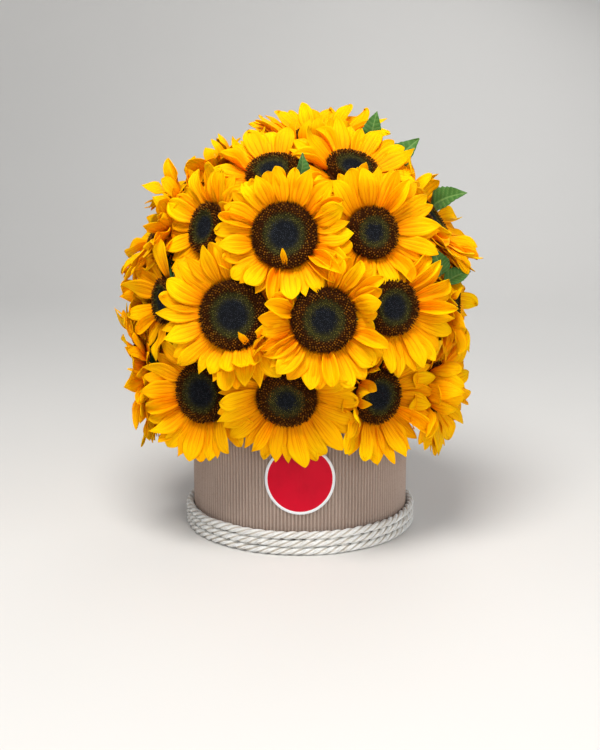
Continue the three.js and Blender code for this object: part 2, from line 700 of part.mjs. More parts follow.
function wrapGeometry() {
  const radiusAt = (i) => (i % 2 ? WRAP_VALLEY_RADIUS : WRAP_CREST_RADIUS);
  const outline = ringOf(new THREE.Shape(), 2 * FLUTES, radiusAt);
  outline.holes.push(ringOf(new THREE.Path(), BOX_SIDES, () => WRAP_INNER_RADIUS));
  const depth = BOX_HEIGHT - 2 * WRAP_INSET;
  return new THREE.ExtrudeGeometry(outline, { depth, bevelEnabled: false }).translate(0, 0, WRAP_INSET);
}

// The rope lies level round the box and climbs to the next turn at the back.
class Winding extends THREE.Curve {
  getPoint(t) {
    const wound = t * (ROPE_TURNS - ROPE_CLIMB);
    const level = Math.floor(wound);
    const climb = THREE.MathUtils.smoothstep(wound - level, 1 - ROPE_CLIMB, 1);
    const a = 2 * Math.PI * (wound + 0.5);
    const r = (WRAP_CREST_RADIUS + SEAT_GAP + ROPE_DIAMETER / 2) / Math.cos(Math.PI / ROPE_STEPS_PER_TURN);
    const z = SEAT_GAP + ROPE_DIAMETER / 2 + (level + climb) * (ROPE_DIAMETER + SEAT_GAP);
    return new THREE.Vector3(r * Math.sin(a), -r * Math.cos(a), z);
  }
}

function ropeGeometry() {
  const steps = Math.round(ROPE_STEPS_PER_TURN * (ROPE_TURNS - ROPE_CLIMB));
  return tube(new Winding(), ROPE_DIAMETER / 2, ROPE_SIDES, steps);
}

// A round plate bent to lie on the flutes, built as upright strips from its left end to its right end.
function labelGeometry() {
  const inner = WRAP_CREST_RADIUS + LABEL_GAP;
  const outer = inner + LABEL_THICKNESS;
  const points = [];
  for (let i = 0; i <= LABEL_STRIPS; i++) {
    const a = LABEL_END + ((Math.PI - 2 * LABEL_END) * i) / LABEL_STRIPS;
    const around = (-LABEL_RADIUS * Math.cos(a)) / outer;
    const high = LABEL_RADIUS * Math.sin(a);
    for (const [r, side] of [[inner, 1], [inner, -1], [outer, 1], [outer, -1]]) {
      const height = LABEL_HEIGHT + side * high;
      points.push(new THREE.Vector3(r * Math.sin(around), -r * Math.cos(around), height));
    }
  }
  const faces = [[1, 3, 2, 0]];
  for (let c = 0; c < 4 * LABEL_STRIPS; c += 4) {
    const d = c + 4;
    faces.push([c + 3, d + 3, d + 2, c + 2]);
    faces.push([c, d, d + 1, c + 1]);
    faces.push([c + 2, d + 2, d, c]);
    faces.push([c + 1, d + 1, d + 3, c + 3]);
  }
  faces.push([0, 2, 3, 1].map((corner) => corner + 4 * LABEL_STRIPS));
  return bodyOf(points, faces);
}

// ---------------------------------------------------------------- the whole

const root = new THREE.Group();

function addMesh(name, geometry, color, roughness) {
  const material = new THREE.MeshStandardMaterial({ color, roughness, flatShading: true });
  const mesh = new THREE.Mesh(geometry, material);
  mesh.name = name;
  root.add(mesh);
}

const { blooms, greens } = buildFlowers();
blooms.forEach((bloom, i) => {
  const number = String(i + 1).padStart(2, '0');
  const flower = flowerGeometry(bloom.disc, bloom.petals).applyMatrix4(bloom.matrix);
  addMesh(`petals_${number}`, flower, YELLOW, 0.6);
  addMesh(`disc_${number}`, geometryOf(bloom.seeds), BROWN, 0.9);
});
addMesh('stems', geometryOf(greens), GREEN, 0.7);
addMesh('foam', geometryOf(buildFoam(blooms)), FOAM_GREEN, 0.9);
addMesh('box', boxGeometry(), CARD, 0.8);
addMesh('wrap', wrapGeometry(), KRAFT, 0.8);
addMesh('rope', ropeGeometry(), CREAM, 0.9);
addMesh('label', labelGeometry(), RED, 0.4);

export default root;
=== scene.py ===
"""A domed bunch of sunflowers in a round box wrapped in corrugated card, with rope wound round its foot.

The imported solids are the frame. Each flower's place, its seed disc and the run of each of its blades are
read from them, and the fine petals, florets, bracts and leaves are built on those. All building is in
millimetres.
"""

import logging
import math
from dataclasses import dataclass, field
from enum import Enum

import bpy
import numpy as np
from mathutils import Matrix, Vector


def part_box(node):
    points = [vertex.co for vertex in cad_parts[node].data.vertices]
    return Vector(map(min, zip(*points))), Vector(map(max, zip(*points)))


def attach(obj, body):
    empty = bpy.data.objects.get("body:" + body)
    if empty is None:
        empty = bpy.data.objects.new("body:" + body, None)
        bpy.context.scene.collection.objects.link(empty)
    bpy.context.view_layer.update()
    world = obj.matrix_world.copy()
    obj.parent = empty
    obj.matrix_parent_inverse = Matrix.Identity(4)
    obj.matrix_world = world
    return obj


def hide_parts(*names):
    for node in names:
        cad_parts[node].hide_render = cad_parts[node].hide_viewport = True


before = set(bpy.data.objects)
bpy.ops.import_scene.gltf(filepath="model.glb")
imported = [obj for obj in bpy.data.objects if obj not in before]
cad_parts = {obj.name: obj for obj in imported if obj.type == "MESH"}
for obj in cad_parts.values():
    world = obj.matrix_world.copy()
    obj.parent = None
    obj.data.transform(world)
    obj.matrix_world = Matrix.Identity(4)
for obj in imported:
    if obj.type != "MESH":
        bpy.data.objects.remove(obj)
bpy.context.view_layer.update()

LOG = logging.getLogger("sunflowers")
MM = 0.001
BODY = "root"
BLOOMS = 27
PLACE_MAP = "place"
PLACES_A_METRE = 8.0  # of the second surface coordinate, on card and rope
GOLDEN_ANGLE = math.radians(137.50776)
UP = np.array([0.0, 0.0, 1.0])

Colour = tuple[float, float, float]
Spot = tuple[float, float, float]
Body = tuple[np.ndarray, np.ndarray]  # its points, and its faces by their numbers
Socket = bpy.types.NodeSocket


class Seed(Enum):
    """Where the random draws of each kind of piece start, so that every run makes the same bunch."""

    PETALS = 1000
    DISC = 2000
    BRACTS = 3000
    STEM_LEAVES = 3500
    STEM_HAIRS = 3800
    LEAF = 4000
    GAP_LEAF = 4500
    DENTS = 5000
    ROPE = 6000

    def dice(self, number: int = 0) -> np.random.Generator:
        """The draws of one piece of that kind."""
        return np.random.default_rng(self.value + number)


# ---------------------------------------------------------------- small geometry helpers


def smoothstep(low: float, high: float, value: np.ndarray) -> np.ndarray:
    """Rises smoothly from 0 at low to 1 at high."""
    share = np.clip((np.asarray(value, float) - low) / (high - low), 0, 1)
    return share * share * (3 - 2 * share)


def beyond(start: float, value: np.ndarray) -> np.ndarray:
    """Rises evenly from 0 at a start to 1 at 1."""
    return np.clip((value - start) / (1 - start), 0, 1)


def unit(vectors: np.ndarray) -> np.ndarray:
    """The same directions at length 1."""
    return vectors / np.maximum(np.linalg.norm(vectors, axis=-1, keepdims=True), 1e-9)


def level_ways(angle: float | np.ndarray) -> tuple[np.ndarray, np.ndarray]:
    """The level way out at an angle, and the level way to the left of it."""
    out = np.stack([np.cos(angle), np.sin(angle), np.zeros_like(angle)], -1)
    return out, np.stack([-out[..., 1], out[..., 0], out[..., 2]], -1)


def through(points: np.ndarray, knots: np.ndarray, at: np.ndarray) -> np.ndarray:
    """Points of a smooth curve.

    Args:
        points: What the curve passes, one row each.
        knots: Where along the curve it passes each of them.
        at: Where along the curve points are wanted, in any shape.

    Returns:
        An array of at's shape with one more axis, for the coordinates.
    """
    knots = np.asarray(knots, float)
    slopes = np.gradient(points, knots, axis=0)
    span = np.clip(np.searchsorted(knots, at, side="right") - 1, 0, len(knots) - 2)
    width = (knots[span + 1] - knots[span])[..., None]
    s = (np.asarray(at)[..., None] - knots[span][..., None]) / width
    start, end = points[span], points[span + 1]
    leave, arrive = slopes[span] * width, slopes[span + 1] * width
    return (
        (2 * s**3 - 3 * s**2 + 1) * start
        + (s**3 - 2 * s**2 + s) * leave
        + (3 * s**2 - 2 * s**3) * end
        + (s**3 - s**2) * arrive
    )


def grid_faces(rows: int, columns: int) -> np.ndarray:
    """The four corners of each quad of a grid whose points are numbered row after row."""
    first = np.arange(rows - 1)[:, None] * columns + np.arange(columns - 1)[None, :]
    return np.stack([first, first + 1, first + columns + 1, first + columns], -1).reshape(-1, 4)


def grid_normals(grid: np.ndarray) -> np.ndarray:
    """Directions square to a grid, on the side from which its columns run to the left of its rows."""
    return unit(np.cross(np.gradient(grid, axis=0), np.gradient(grid, axis=1)))


def grid_places(across: np.ndarray, along: np.ndarray) -> np.ndarray:
    """Surface coordinates of a grid's points from those of its columns and, as a column, of its rows."""
    return np.stack(np.broadcast_arrays(across, along), -1).reshape(-1, 2)


def plate(grid: np.ndarray, thickness: float) -> Body:
    """A thin closed plate.

    Args:
        grid: Points of its upper side, rows by columns by three.
        thickness: How far below them the under side is.

    Returns:
        Its points, upper side first, and its faces.
    """
    rows, columns = grid.shape[:2]
    count = rows * columns
    under = grid - thickness * grid_normals(grid)
    number = np.arange(count).reshape(rows, columns)
    rim = np.concatenate([number[0, :-1], number[:-1, -1], number[-1, :0:-1], number[:0:-1, 0]])
    after = np.roll(rim, -1)
    quads = grid_faces(rows, columns)
    walls = np.stack([rim, after, after + count, rim + count], -1)
    points = np.concatenate([grid.reshape(-1, 3), under.reshape(-1, 3)])
    return points, np.concatenate([quads[:, ::-1], quads + count, walls])


def tube(line: np.ndarray, radius: np.ndarray, sides: int) -> Body:
    """A closed round bar along a line.

    Args:
        line: Its middle, one row for each ring.
        radius: Its radius at each ring, or at each point of each ring.
        sides: Points round each ring.

    Returns:
        Its points, ring after ring and then the middles of its two ends, and its faces.
    """
    aslant = np.array([0.13, 0.29, 0.95])  # a way that no stem or stalk runs
    along = unit(np.gradient(line, axis=0))
    side = unit(np.cross(along, aslant))[:, None]
    other = np.cross(along[:, None], side)
    angle = (2 * np.pi * np.arange(sides) / sides)[None, :, None]
    radius = np.broadcast_to(np.asarray(radius, float).reshape(len(line), -1), (len(line), sides))
    return ringed(line[:, None] + radius[..., None] * (np.cos(angle) * side + np.sin(angle) * other))


def ringed(rings: np.ndarray) -> Body:
    """A closed bar.

    Args:
        rings: Its rings of points, which turn to the left about the way that it runs.

    Returns:
        Their points and then the middles of the first and last ring, and its faces.
    """
    count, sides = rings.shape[:2]
    number = np.arange(count * sides).reshape(count, sides)
    after = np.roll(number, -1, axis=1)
    walls = np.stack([number[:-1], after[:-1], after[1:], number[1:]], -1).reshape(-1, 4)
    start = np.stack([np.full(sides, count * sides), after[0], number[0], number[0]], -1)
    end = np.stack([np.full(sides, count * sides + 1), number[-1], after[-1], after[-1]], -1)
    points = np.concatenate([rings.reshape(-1, 3), rings[0].mean(0)[None], rings[-1].mean(0)[None]])
    return points, np.concatenate([walls, start, end])


def lathe(profile: list[tuple[float, float]], sides: int) -> Body:
    """A closed body turned about Z.

    Args:
        profile: Pairs of a radius and a height, which start and end on the axis and go up on the outside.
        sides: Points round it.

    Returns:
        Its points and faces.
    """
    angle = 2 * np.pi * np.arange(sides) / sides
    rings = [[(r * math.cos(a), r * math.sin(a), z) for a in angle] for r, z in profile[1:-1]]
    points, faces = ringed(np.array(rings))
    points[-2] = (0, 0, profile[0][1])
    points[-1] = (0, 0, profile[-1][1])
    return points, faces


def hairs(feet: np.ndarray, ways: np.ndarray, length: np.ndarray, radius: float) -> Body:
    """Fine closed spikes.

    Args:
        feet: Where each stands, one row each.
        ways: The way each points.
        length: Of each.
        radius: Of their three-sided feet.

    Returns:
        Their points and faces.
    """
    ways = unit(ways)
    side = unit(np.cross(ways, (0.37, 0.61, 0.70)))
    other = np.cross(ways, side)
    turns = (0, 2 * math.pi / 3, 4 * math.pi / 3)
    foot = [feet + radius * (math.cos(a) * side + math.sin(a) * other) for a in turns]
    points = np.stack([*foot, feet + ways * length[:, None]], 1).reshape(-1, 3)
    sides = np.array([[0, 2, 1, 1], [0, 1, 3, 3], [1, 2, 3, 3], [2, 0, 3, 3]])
    return points, (sides[None] + 4 * np.arange(len(feet))[:, None, None]).reshape(-1, 4)


@dataclass
class Shape:
    """Closed bodies gathered into one mesh, with what their finish reads at each point."""

    points: list[np.ndarray] = field(default_factory=list)
    faces: list[list[int]] = field(default_factory=list)
    places: list[np.ndarray] = field(default_factory=list)
    tones: list[np.ndarray] = field(default_factory=list)
    shades: list[np.ndarray] = field(default_factory=list)
    size: int = 0

    def add(
        self,
        body: Body,
        place: np.ndarray | None = None,
        tone: float | np.ndarray = 0.0,
        shade: float | np.ndarray = 0.0,
    ) -> None:
        """Adds a closed body.

        Args:
            body: Its points and its faces. A face that ends on a corner twice is a triangle.
            place: Two coordinates on its surface for each point.
            tone: A number that is the same over one body, or one for each point.
            shade: A mask, as a number for each point or one for all. Finishes read it as painted shade in
                petal grooves, card valleys and rope hollows, as the bright tips of florets, and as pale veins
                and hairs.
        """
        points, faces = body
        count = len(points)
        self.points.append(points)
        for face in (faces + self.size).tolist():
            self.faces.append(face[:3] if face[-1] == face[-2] else face)
        self.places.append(np.zeros((count, 2)) if place is None else place)
        self.tones.append(np.broadcast_to(tone, count))
        self.shades.append(np.broadcast_to(shade, count))
        self.size += count

    def build(self, name: str, finish: bpy.types.Material, smooth: bool = True) -> bpy.types.Object:
        """Makes the object.

        Args:
            name: Its name.
            finish: Its material.
            smooth: Whether it is shaded smooth.

        Returns:
            The object, in metres.
        """
        mesh = bpy.data.meshes.new(name)
        mesh.from_pydata(np.concatenate(self.points) * MM, [], self.faces)
        mesh.update()
        loops = np.empty(len(mesh.loops), np.int64)
        mesh.loops.foreach_get("vertex_index", loops)
        layer = mesh.uv_layers.new(name=PLACE_MAP)
        layer.data.foreach_set("uv", np.concatenate(self.places)[loops].astype(np.float32).ravel())
        for label, values in (("tone", self.tones), ("shade", self.shades)):
            attribute = mesh.attributes.new(label, "FLOAT", "POINT")
            attribute.data.foreach_set("value", np.concatenate(values).astype(np.float32))
        mesh.polygons.foreach_set("use_smooth", np.full(len(mesh.polygons), smooth))
        mesh.materials.append(finish)
        return linked(name, mesh)


def linked(name: str, data: bpy.types.ID) -> bpy.types.Object:
    """Puts a new object with that data in the scene.

    Args:
        name: Its name.
        data: Its mesh, light or camera.

    Returns:
        The object.
    """
    made = bpy.data.objects.new(name, data)
    bpy.context.scene.collection.objects.link(made)
    return made


def settle(piece: bpy.types.Object, node: str) -> None:
    """Rides a piece on the frame and lets it stand for its node.

    Args:
        piece: The fine piece.
        node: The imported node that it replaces.
    """
    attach(piece, BODY)
    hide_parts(node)
    LOG.info("%s: %d faces", piece.name, len(piece.data.polygons))


def corners(node: str) -> tuple[np.ndarray, list[tuple[int, ...]]]:
    """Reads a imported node.

    Args:
        node: Its name.

    Returns:
        Its distinct corners in millimetres, and its faces by their numbers.
    """
    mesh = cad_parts[node].data
    raw = np.empty(3 * len(mesh.vertices), np.float32)
    mesh.vertices.foreach_get("co", raw)
    points, number = np.unique(np.round(raw.reshape(-1, 3) / MM, 2), axis=0, return_inverse=True)
    number = number.ravel()
    return points, [tuple(int(number[i]) for i in face.vertices) for face in mesh.polygons]


def has_corner(known: np.ndarray, point: np.ndarray) -> bool:
    """Whether one of the known corners lies within 0.3 mm of a point."""
    return bool(np.min(np.linalg.norm(known - point, axis=1)) < 0.3)


# ---------------------------------------------------------------- finishes


class NodeSheet:
    """A node tree, with short ways to write in it."""

    def __init__(self, tree: bpy.types.NodeTree) -> None:
        """Starts on a tree."""
        self.tree = tree

    def node(self, kind: str, **inputs: object) -> bpy.types.Node:
        """Adds a node.

        Args:
            kind: Its type.
            **inputs: A value or another node's output for each input, with _ for a space in its name.

        Returns:
            The node.
        """
        made = self.tree.nodes.new(kind)
        for name, value in inputs.items():
            self.put(made.inputs[name.replace("_", " ")], value)
        return made

    def put(self, socket: Socket, value: object) -> None:
        """Sets an input to a value, or joins it to an output.

        Args:
            socket: The input.
            value: A number, a colour, a vector or another node's output.
        """
        if isinstance(value, bpy.types.NodeSocket):
            self.tree.links.new(value, socket)
        elif isinstance(value, tuple) and socket.type == "RGBA":
            socket.default_value = (*value, 1)
        else:
            socket.default_value = value

    def sum(self, operation: str, *terms: object, clamp: bool = False) -> Socket:
        """One step of arithmetic.

        Args:
            operation: What is done with the terms.
            *terms: Two or three numbers or outputs.
            clamp: Whether the result is kept between 0 and 1.

        Returns:
            The result.
        """
        made = self.tree.nodes.new("ShaderNodeMath")
        made.operation = operation
        made.use_clamp = clamp
        for socket, term in zip(made.inputs, terms):
            self.put(socket, term)
        return made.outputs[0]


def shared_group(
    name: str, inputs: dict[str, float | None]
) -> tuple[NodeSheet, bpy.types.Node, bpy.types.Node]:
    """Starts a node group that puts out one number, called Value.

    Args:
        name: Of the group.
        inputs: Each input's name and its default. One without a number is a vector.

    Returns:
        The group to write in, its input node and its output node.
    """
    tree = bpy.data.node_groups.new(name, "ShaderNodeTree")
    for label, default in inputs.items():
        kind = "NodeSocketVector" if default is None else "NodeSocketFloat"
        socket = tree.interface.new_socket(label, in_out="INPUT", socket_type=kind)
        if default is not None:
            socket.default_value = default
    tree.interface.new_socket("Value", in_out="OUTPUT", socket_type="NodeSocketFloat")
    sheet = NodeSheet(tree)
    return sheet, sheet.node("NodeGroupInput"), sheet.node("NodeGroupOutput")


def fibres_group() -> bpy.types.NodeTree:
    """Writes the group of fine streaks that run along the second coordinate.

    Returns:
        The group.
    """
    inputs = {"Vector": None, "Across": 30.0, "Along": 2.0, "Detail": 2.0}
    sheet, source, target = shared_group("fibres", inputs)
    given = source.outputs
    scale = sheet.node("ShaderNodeCombineXYZ", X=given["Across"], Y=given["Along"], Z=1.0)
    stretched = sheet.node("ShaderNodeVectorMath")
    stretched.operation = "MULTIPLY"
    sheet.put(stretched.inputs[0], given["Vector"])
    sheet.put(stretched.inputs[1], scale.outputs[0])
    noise = sheet.node("ShaderNodeTexNoise", Vector=stretched.outputs[0], Scale=1.0, Detail=given["Detail"])
    sheet.put(target.inputs["Value"], noise.outputs["Fac"])
    return sheet.tree


def mottle_group() -> bpy.types.NodeTree:
    """Writes the group of soft blotches, from 0 to 1.

    Returns:
        The group.
    """
    sheet, source, target = shared_group("mottle", {"Vector": None, "Scale": 40.0, "Contrast": 2.0})
    given = source.outputs
    noise = sheet.node("ShaderNodeTexNoise", Vector=given["Vector"], Scale=given["Scale"], Detail=4.0)
    centred = sheet.sum("SUBTRACT", noise.outputs["Fac"], 0.5)
    stretched = sheet.sum("MULTIPLY_ADD", centred, given["Contrast"], 0.5, clamp=True)
    sheet.put(target.inputs["Value"], stretched)
    return sheet.tree


class Effects:
    """The node groups that more than one finish uses."""

    def __init__(self) -> None:
        """Writes both groups."""
        self.fibres = fibres_group()
        self.mottle = mottle_group()


class Paint(NodeSheet):
    """A material's nodes, from its shader up."""

    def __init__(self, name: str, roughness: float, specular: float, effects: Effects) -> None:
        """Starts a material.

        Args:
            name: Its name.
            roughness: Of its surface where nothing varies it.
            specular: Its specular level.
            effects: The shared node groups.
        """
        self.material = bpy.data.materials.new(name)
        self.material.use_nodes = True
        super().__init__(self.material.node_tree)
        self.effects = effects
        self.shader = self.tree.nodes["Principled BSDF"]
        self.set("Roughness", roughness)
        self.set("Specular IOR Level", specular)

    def set(self, name: str, value: object) -> None:
        """Sets or joins an input of the shader."""
        self.put(self.shader.inputs[name], value)

    def value(self, name: str) -> Socket:
        """Reads a number that the mesh carries at each point.

        Args:
            name: What the mesh calls it.

        Returns:
            The number.
        """
        made = self.node("ShaderNodeAttribute")
        made.attribute_name = name
        return made.outputs["Fac"]

    def place(self) -> Socket:
        """Reads the coordinates on the surface.

        Returns:
            How far across and along its piece a point is.
        """
        made = self.node("ShaderNodeUVMap")
        made.uv_map = PLACE_MAP
        return made.outputs["UV"]

    def along(self) -> Socket:
        """The second coordinate on the surface."""
        return self.node("ShaderNodeSeparateXYZ", Vector=self.place()).outputs["Y"]

    def where(self) -> Socket:
        """The point's place on the object."""
        return self.node("ShaderNodeTexCoord").outputs["Object"]

    def group(self, tree: bpy.types.NodeTree, **inputs: object) -> Socket:
        """Places a shared node group.

        Args:
            tree: The group.
            **inputs: A value or an output for each of its inputs.

        Returns:
            The number that it puts out.
        """
        made = self.tree.nodes.new("ShaderNodeGroup")
        made.node_tree = tree
        for name, value in inputs.items():
            self.put(made.inputs[name], value)
        return made.outputs["Value"]

    def streaks(self, vector: Socket, across: float, along: float, detail: float = 2.0) -> Socket:
        """Fine streaks on some coordinates, at scales across and along them."""
        return self.group(self.effects.fibres, Vector=vector, Across=across, Along=along, Detail=detail)

    def blotches(self, scale: float, contrast: float) -> Socket:
        """Soft blotches all over the object."""
        return self.group(self.effects.mottle, Vector=self.where(), Scale=scale, Contrast=contrast)

    def mix(self, low: object, high: object, factor: object) -> Socket:
        """Mixes two colours.

        Args:
            low: The colour where the factor is 0.
            high: The colour where it is 1.
            factor: The share of the second colour.

        Returns:
            The mixed colour.
        """
        made = self.tree.nodes.new("ShaderNodeMix")
        made.data_type = "RGBA"
        for number, value in ((0, factor), (6, low), (7, high)):
            self.put(made.inputs[number], value)
        return made.outputs[2]

    def spread(self, value: object, low: float, high: float, to_low: float, to_high: float) -> Socket:
        """Takes a number from the first range, low to high, to the second, which it never leaves."""
        bounds = {"From_Min": low, "From_Max": high, "To_Min": to_low, "To_Max": to_high}
        return self.node("ShaderNodeMapRange", Value=value, **bounds).outputs["Result"]

    def over(self, under: object, top: Colour, mask: Socket, low: float, high: float, most: float) -> Socket:
        """Lays a colour over another, from nothing where a mask is low to its most where it is high."""
        return self.mix(under, top, self.spread(mask, low, high, 0, most))

    def ramp(self, factor: object, stops: list[tuple[float, Colour]]) -> Socket:
        """Runs through colours.

        Args:
            factor: Where on the run a point is.
            stops: Each colour and its place on the run.

        Returns:
            The colour there.
        """
        made = self.tree.nodes.new("ShaderNodeValToRGB")
        self.put(made.inputs[0], factor)
        elements = made.color_ramp.elements
        while len(elements) < len(stops):
            elements.new(1)
        for element, (position, colour) in zip(elements, stops):
            element.position = position
            element.color = (*colour, 1)
        return made.outputs[0]

    def bump(self, height: object, distance: float, strength: float) -> None:
        """Raises the surface's look by a height, in metres at 1."""
        made = self.node("ShaderNodeBump", Height=height, Distance=distance, Strength=strength)
        self.set("Normal", made.outputs[0])


@dataclass(frozen=True)
class Finish:
    """A finish: its material's name, how rough its surface is, and how much it shines."""

    name: str
    roughness: float
    specular: float

    def make(self, effects: Effects) -> bpy.types.Material:
        """Makes the material.

        Args:
            effects: The shared node groups.

        Returns:
            The material.
        """
        paint = Paint(self.name, self.roughness, self.specular, effects)
        self.dress(paint)
        return paint.material

    def dress(self, paint: Paint) -> None:
        """Writes what is special to the finish."""
        raise NotImplementedError


@dataclass(frozen=True)
class PetalFinish(Finish):
    """Sunflower petals: orange at the root, painted orange shade in the folds, yellow towards the tip, with
    fine veins.
    """

    name: str = "petal"
    roughness: float = 0.6
    specular: float = 0.03
    root: Colour = (0.80, 0.18, 0.0)
    middle: Colour = (1.0, 0.36, 0.0)
    tip: Colour = (1.0, 0.57, 0.0)
    # fold: painted shade down the grooves between pleats, and also the colour of the fine veins
    fold: Colour = (0.70, 0.13, 0.0)
    glow: Colour = (1.0, 0.5, 0.05)

    def dress(self, paint: Paint) -> None:
        """Writes the run of yellow along a petal, the painted shade in its folds, and its veins.

        Args:
            paint: The material's nodes.
        """
        veins = paint.streaks(paint.place(), 22.0, 1.2)
        stops = [(0.0, self.root), (0.24, self.middle), (0.72, self.tip), (1.0, self.tip)]
        colour = paint.ramp(paint.along(), stops)
        # tone: a random orange shift for each petal, plus painted shade on the rows behind the first
        colour = paint.over(colour, self.middle, paint.value("tone"), 0, 1, 0.8)
        # painted shade: the grooves between pleats turn orange
        colour = paint.over(colour, self.fold, paint.value("shade"), 0.4, 1, 0.85)
        colour = paint.over(colour, self.fold, veins, 0.52, 0.64, 0.42)
        colour = paint.over(colour, self.tip, paint.blotches(55.0, 1.6), 0.5, 1, 0.3)
        paint.set("Base Color", colour)
        paint.set("Subsurface Weight", 0.25)
        paint.set("Subsurface Radius", self.glow)
        paint.set("Subsurface Scale", 0.0015)
        paint.bump(veins, 0.0006, 0.8)


@dataclass(frozen=True)
class DiscFinish(Finish):
    """Seed discs: blue-black buds with a painted bluish sky reflection on their tips, an olive ring, and
    brown open florets with rusty tips.
    """

    name: str = "seed disc"
    roughness: float = 0.7
    specular: float = 0.04
    heart: Colour = (0.008, 0.009, 0.011)
    olive: Colour = (0.031, 0.028, 0.008)
    brown: Colour = (0.034, 0.009, 0.002)
    # painted reflection: the bluish sheen of the sky on the buds' tips in the heart
    heart_sky_reflection: Colour = (0.052, 0.060, 0.078)
    bright_olive: Colour = (0.200, 0.170, 0.030)
    rust: Colour = (0.420, 0.150, 0.008)

    def dress(self, paint: Paint) -> None:
        """Writes the rings of colour, each dark at a floret's foot and bright at its tip; in the heart the
        bright tips are a painted sky reflection.

        Args:
            paint: The material's nodes.
        """
        out = paint.along()
        dark = paint.ramp(out, [
            (0.0, self.heart), (0.36, self.heart), (0.52, self.olive), (0.60, self.olive), (0.72, self.brown),
        ])
        # tip colours: a painted sky reflection in the heart, the florets' own olive and rust further out
        bright = paint.ramp(out, [
            (0.0, self.heart_sky_reflection), (0.34, self.heart_sky_reflection), (0.50, self.bright_olive),
            (0.60, self.bright_olive), (0.74, self.rust),
        ])
        some = paint.spread(paint.value("tone"), 0.3, 0.7, 0.08, 1)
        lit = paint.sum("MULTIPLY", paint.value("shade"), some)
        patchy = paint.spread(paint.blotches(160.0, 2.0), 0.3, 0.9, 1, 0.45)
        paint.set("Base Color", paint.mix(dark, bright, paint.sum("MULTIPLY", lit, patchy)))


@dataclass(frozen=True)
class LeafFinish(Finish):
    """Leaves, bracts and stems: a matt green with a bluish bloom, paler along the veins."""

    name: str = "leaf"
    roughness: float = 0.5
    specular: float = 0.15
    face: Colour = (0.028, 0.105, 0.010)
    bloom: Colour = (0.060, 0.170, 0.030)
    vein: Colour = (0.200, 0.340, 0.090)
    glow: Colour = (0.4, 1.0, 0.2)

    def dress(self, paint: Paint) -> None:
        """Writes the green, its bloom and its veins.

        Args:
            paint: The material's nodes.
        """
        fine = paint.streaks(paint.where(), 900.0, 900.0)
        colour = paint.over(self.face, self.bloom, paint.blotches(70.0, 2.2), 0.2, 0.8, 1)
        colour = paint.mix(colour, self.bloom, paint.value("tone"))
        paint.set("Base Color", paint.mix(colour, self.vein, paint.value("shade")))
        paint.set("Sheen Weight", 0.08)
        paint.set("Subsurface Weight", 0.1)
        paint.set("Subsurface Radius", self.glow)
        paint.set("Subsurface Scale", 0.001)
        paint.bump(paint.sum("ADD", paint.value("shade"), fine), 0.0003, 0.6)


@dataclass(frozen=True)
class CardFinish(Finish):
    """Kraft card: brown paper with fibres, with painted shade down between the flutes."""

    name: str = "kraft card"
    roughness: float = 0.85
    specular: float = 0.25
    crest: Colour = (0.455, 0.352, 0.295)
    # valley: painted shade between the flutes, and also the colour of stains and specks
    valley: Colour = (0.270, 0.200, 0.160)
    fibre: Colour = (0.55, 0.43, 0.34)

    def dress(self, paint: Paint) -> None:
        """Writes the brown of the card, the painted shade between its flutes, its stains, specks and fibres.

        Args:
            paint: The material's nodes.
        """
        grain = paint.streaks(paint.place(), 900.0, 8.0, 4.0)
        specks = paint.blotches(700.0, 3.0)
        # painted shade in the valleys between flutes
        colour = paint.over(self.crest, self.valley, paint.value("shade"), 0.1, 0.9, 0.85)
        colour = paint.over(colour, self.valley, paint.blotches(14.0, 1.5), 0.5, 1, 0.22)
        colour = paint.over(colour, self.valley, specks, 0.6, 1, 0.35)
        paint.set("Base Color", paint.over(colour, self.fibre, grain, 0.55, 0.8, 0.3))
        paint.bump(paint.sum("ADD", grain, specks), 0.0002, 0.5)


BOX_CARD = CardFinish("box card", crest=(0.50, 0.40, 0.31), valley=(0.30, 0.22, 0.16))


@dataclass(frozen=True)
class RopeFinish(Finish):
    """Cream twisted rope: soft fibres along each strand with painted bluish highlights, and beige painted
    shade in the hollows.
    """

    name: str = "cream rope"
    roughness: float = 0.8
    specular: float = 0.25
    fibre: Colour = (0.87, 0.86, 0.82)
    # hollow: painted shade in the hollows between strands, and also the darker blotches and streaks
    hollow: Colour = (0.40, 0.32, 0.22)
    # bright: pale fibres, painted bluish white as a highlight
    bright: Colour = (0.93, 0.96, 0.98)

    def dress(self, paint: Paint) -> None:
        """Writes the cream of the fibres and the shade of the hollows between strands.

        Args:
            paint: The material's nodes.
        """
        threads = paint.streaks(paint.place(), 16.0, 14.0, 3.0)
        # paler fibres in a painted bluish highlight
        colour = paint.over(self.fibre, self.bright, threads, 0.45, 0.7, 1)
        # painted shade on the inner side of each strand
        colour = paint.over(colour, self.hollow, paint.value("shade"), 0.35, 1, 0.8)
        colour = paint.over(colour, self.hollow, paint.blotches(60.0, 2.5), 0.6, 1, 0.3)
        paint.set("Base Color", paint.over(colour, self.hollow, threads, 0.42, 0.3, 0.4))
        paint.set("Sheen Weight", 0.3)
        paint.bump(threads, 0.0012, 0.9)


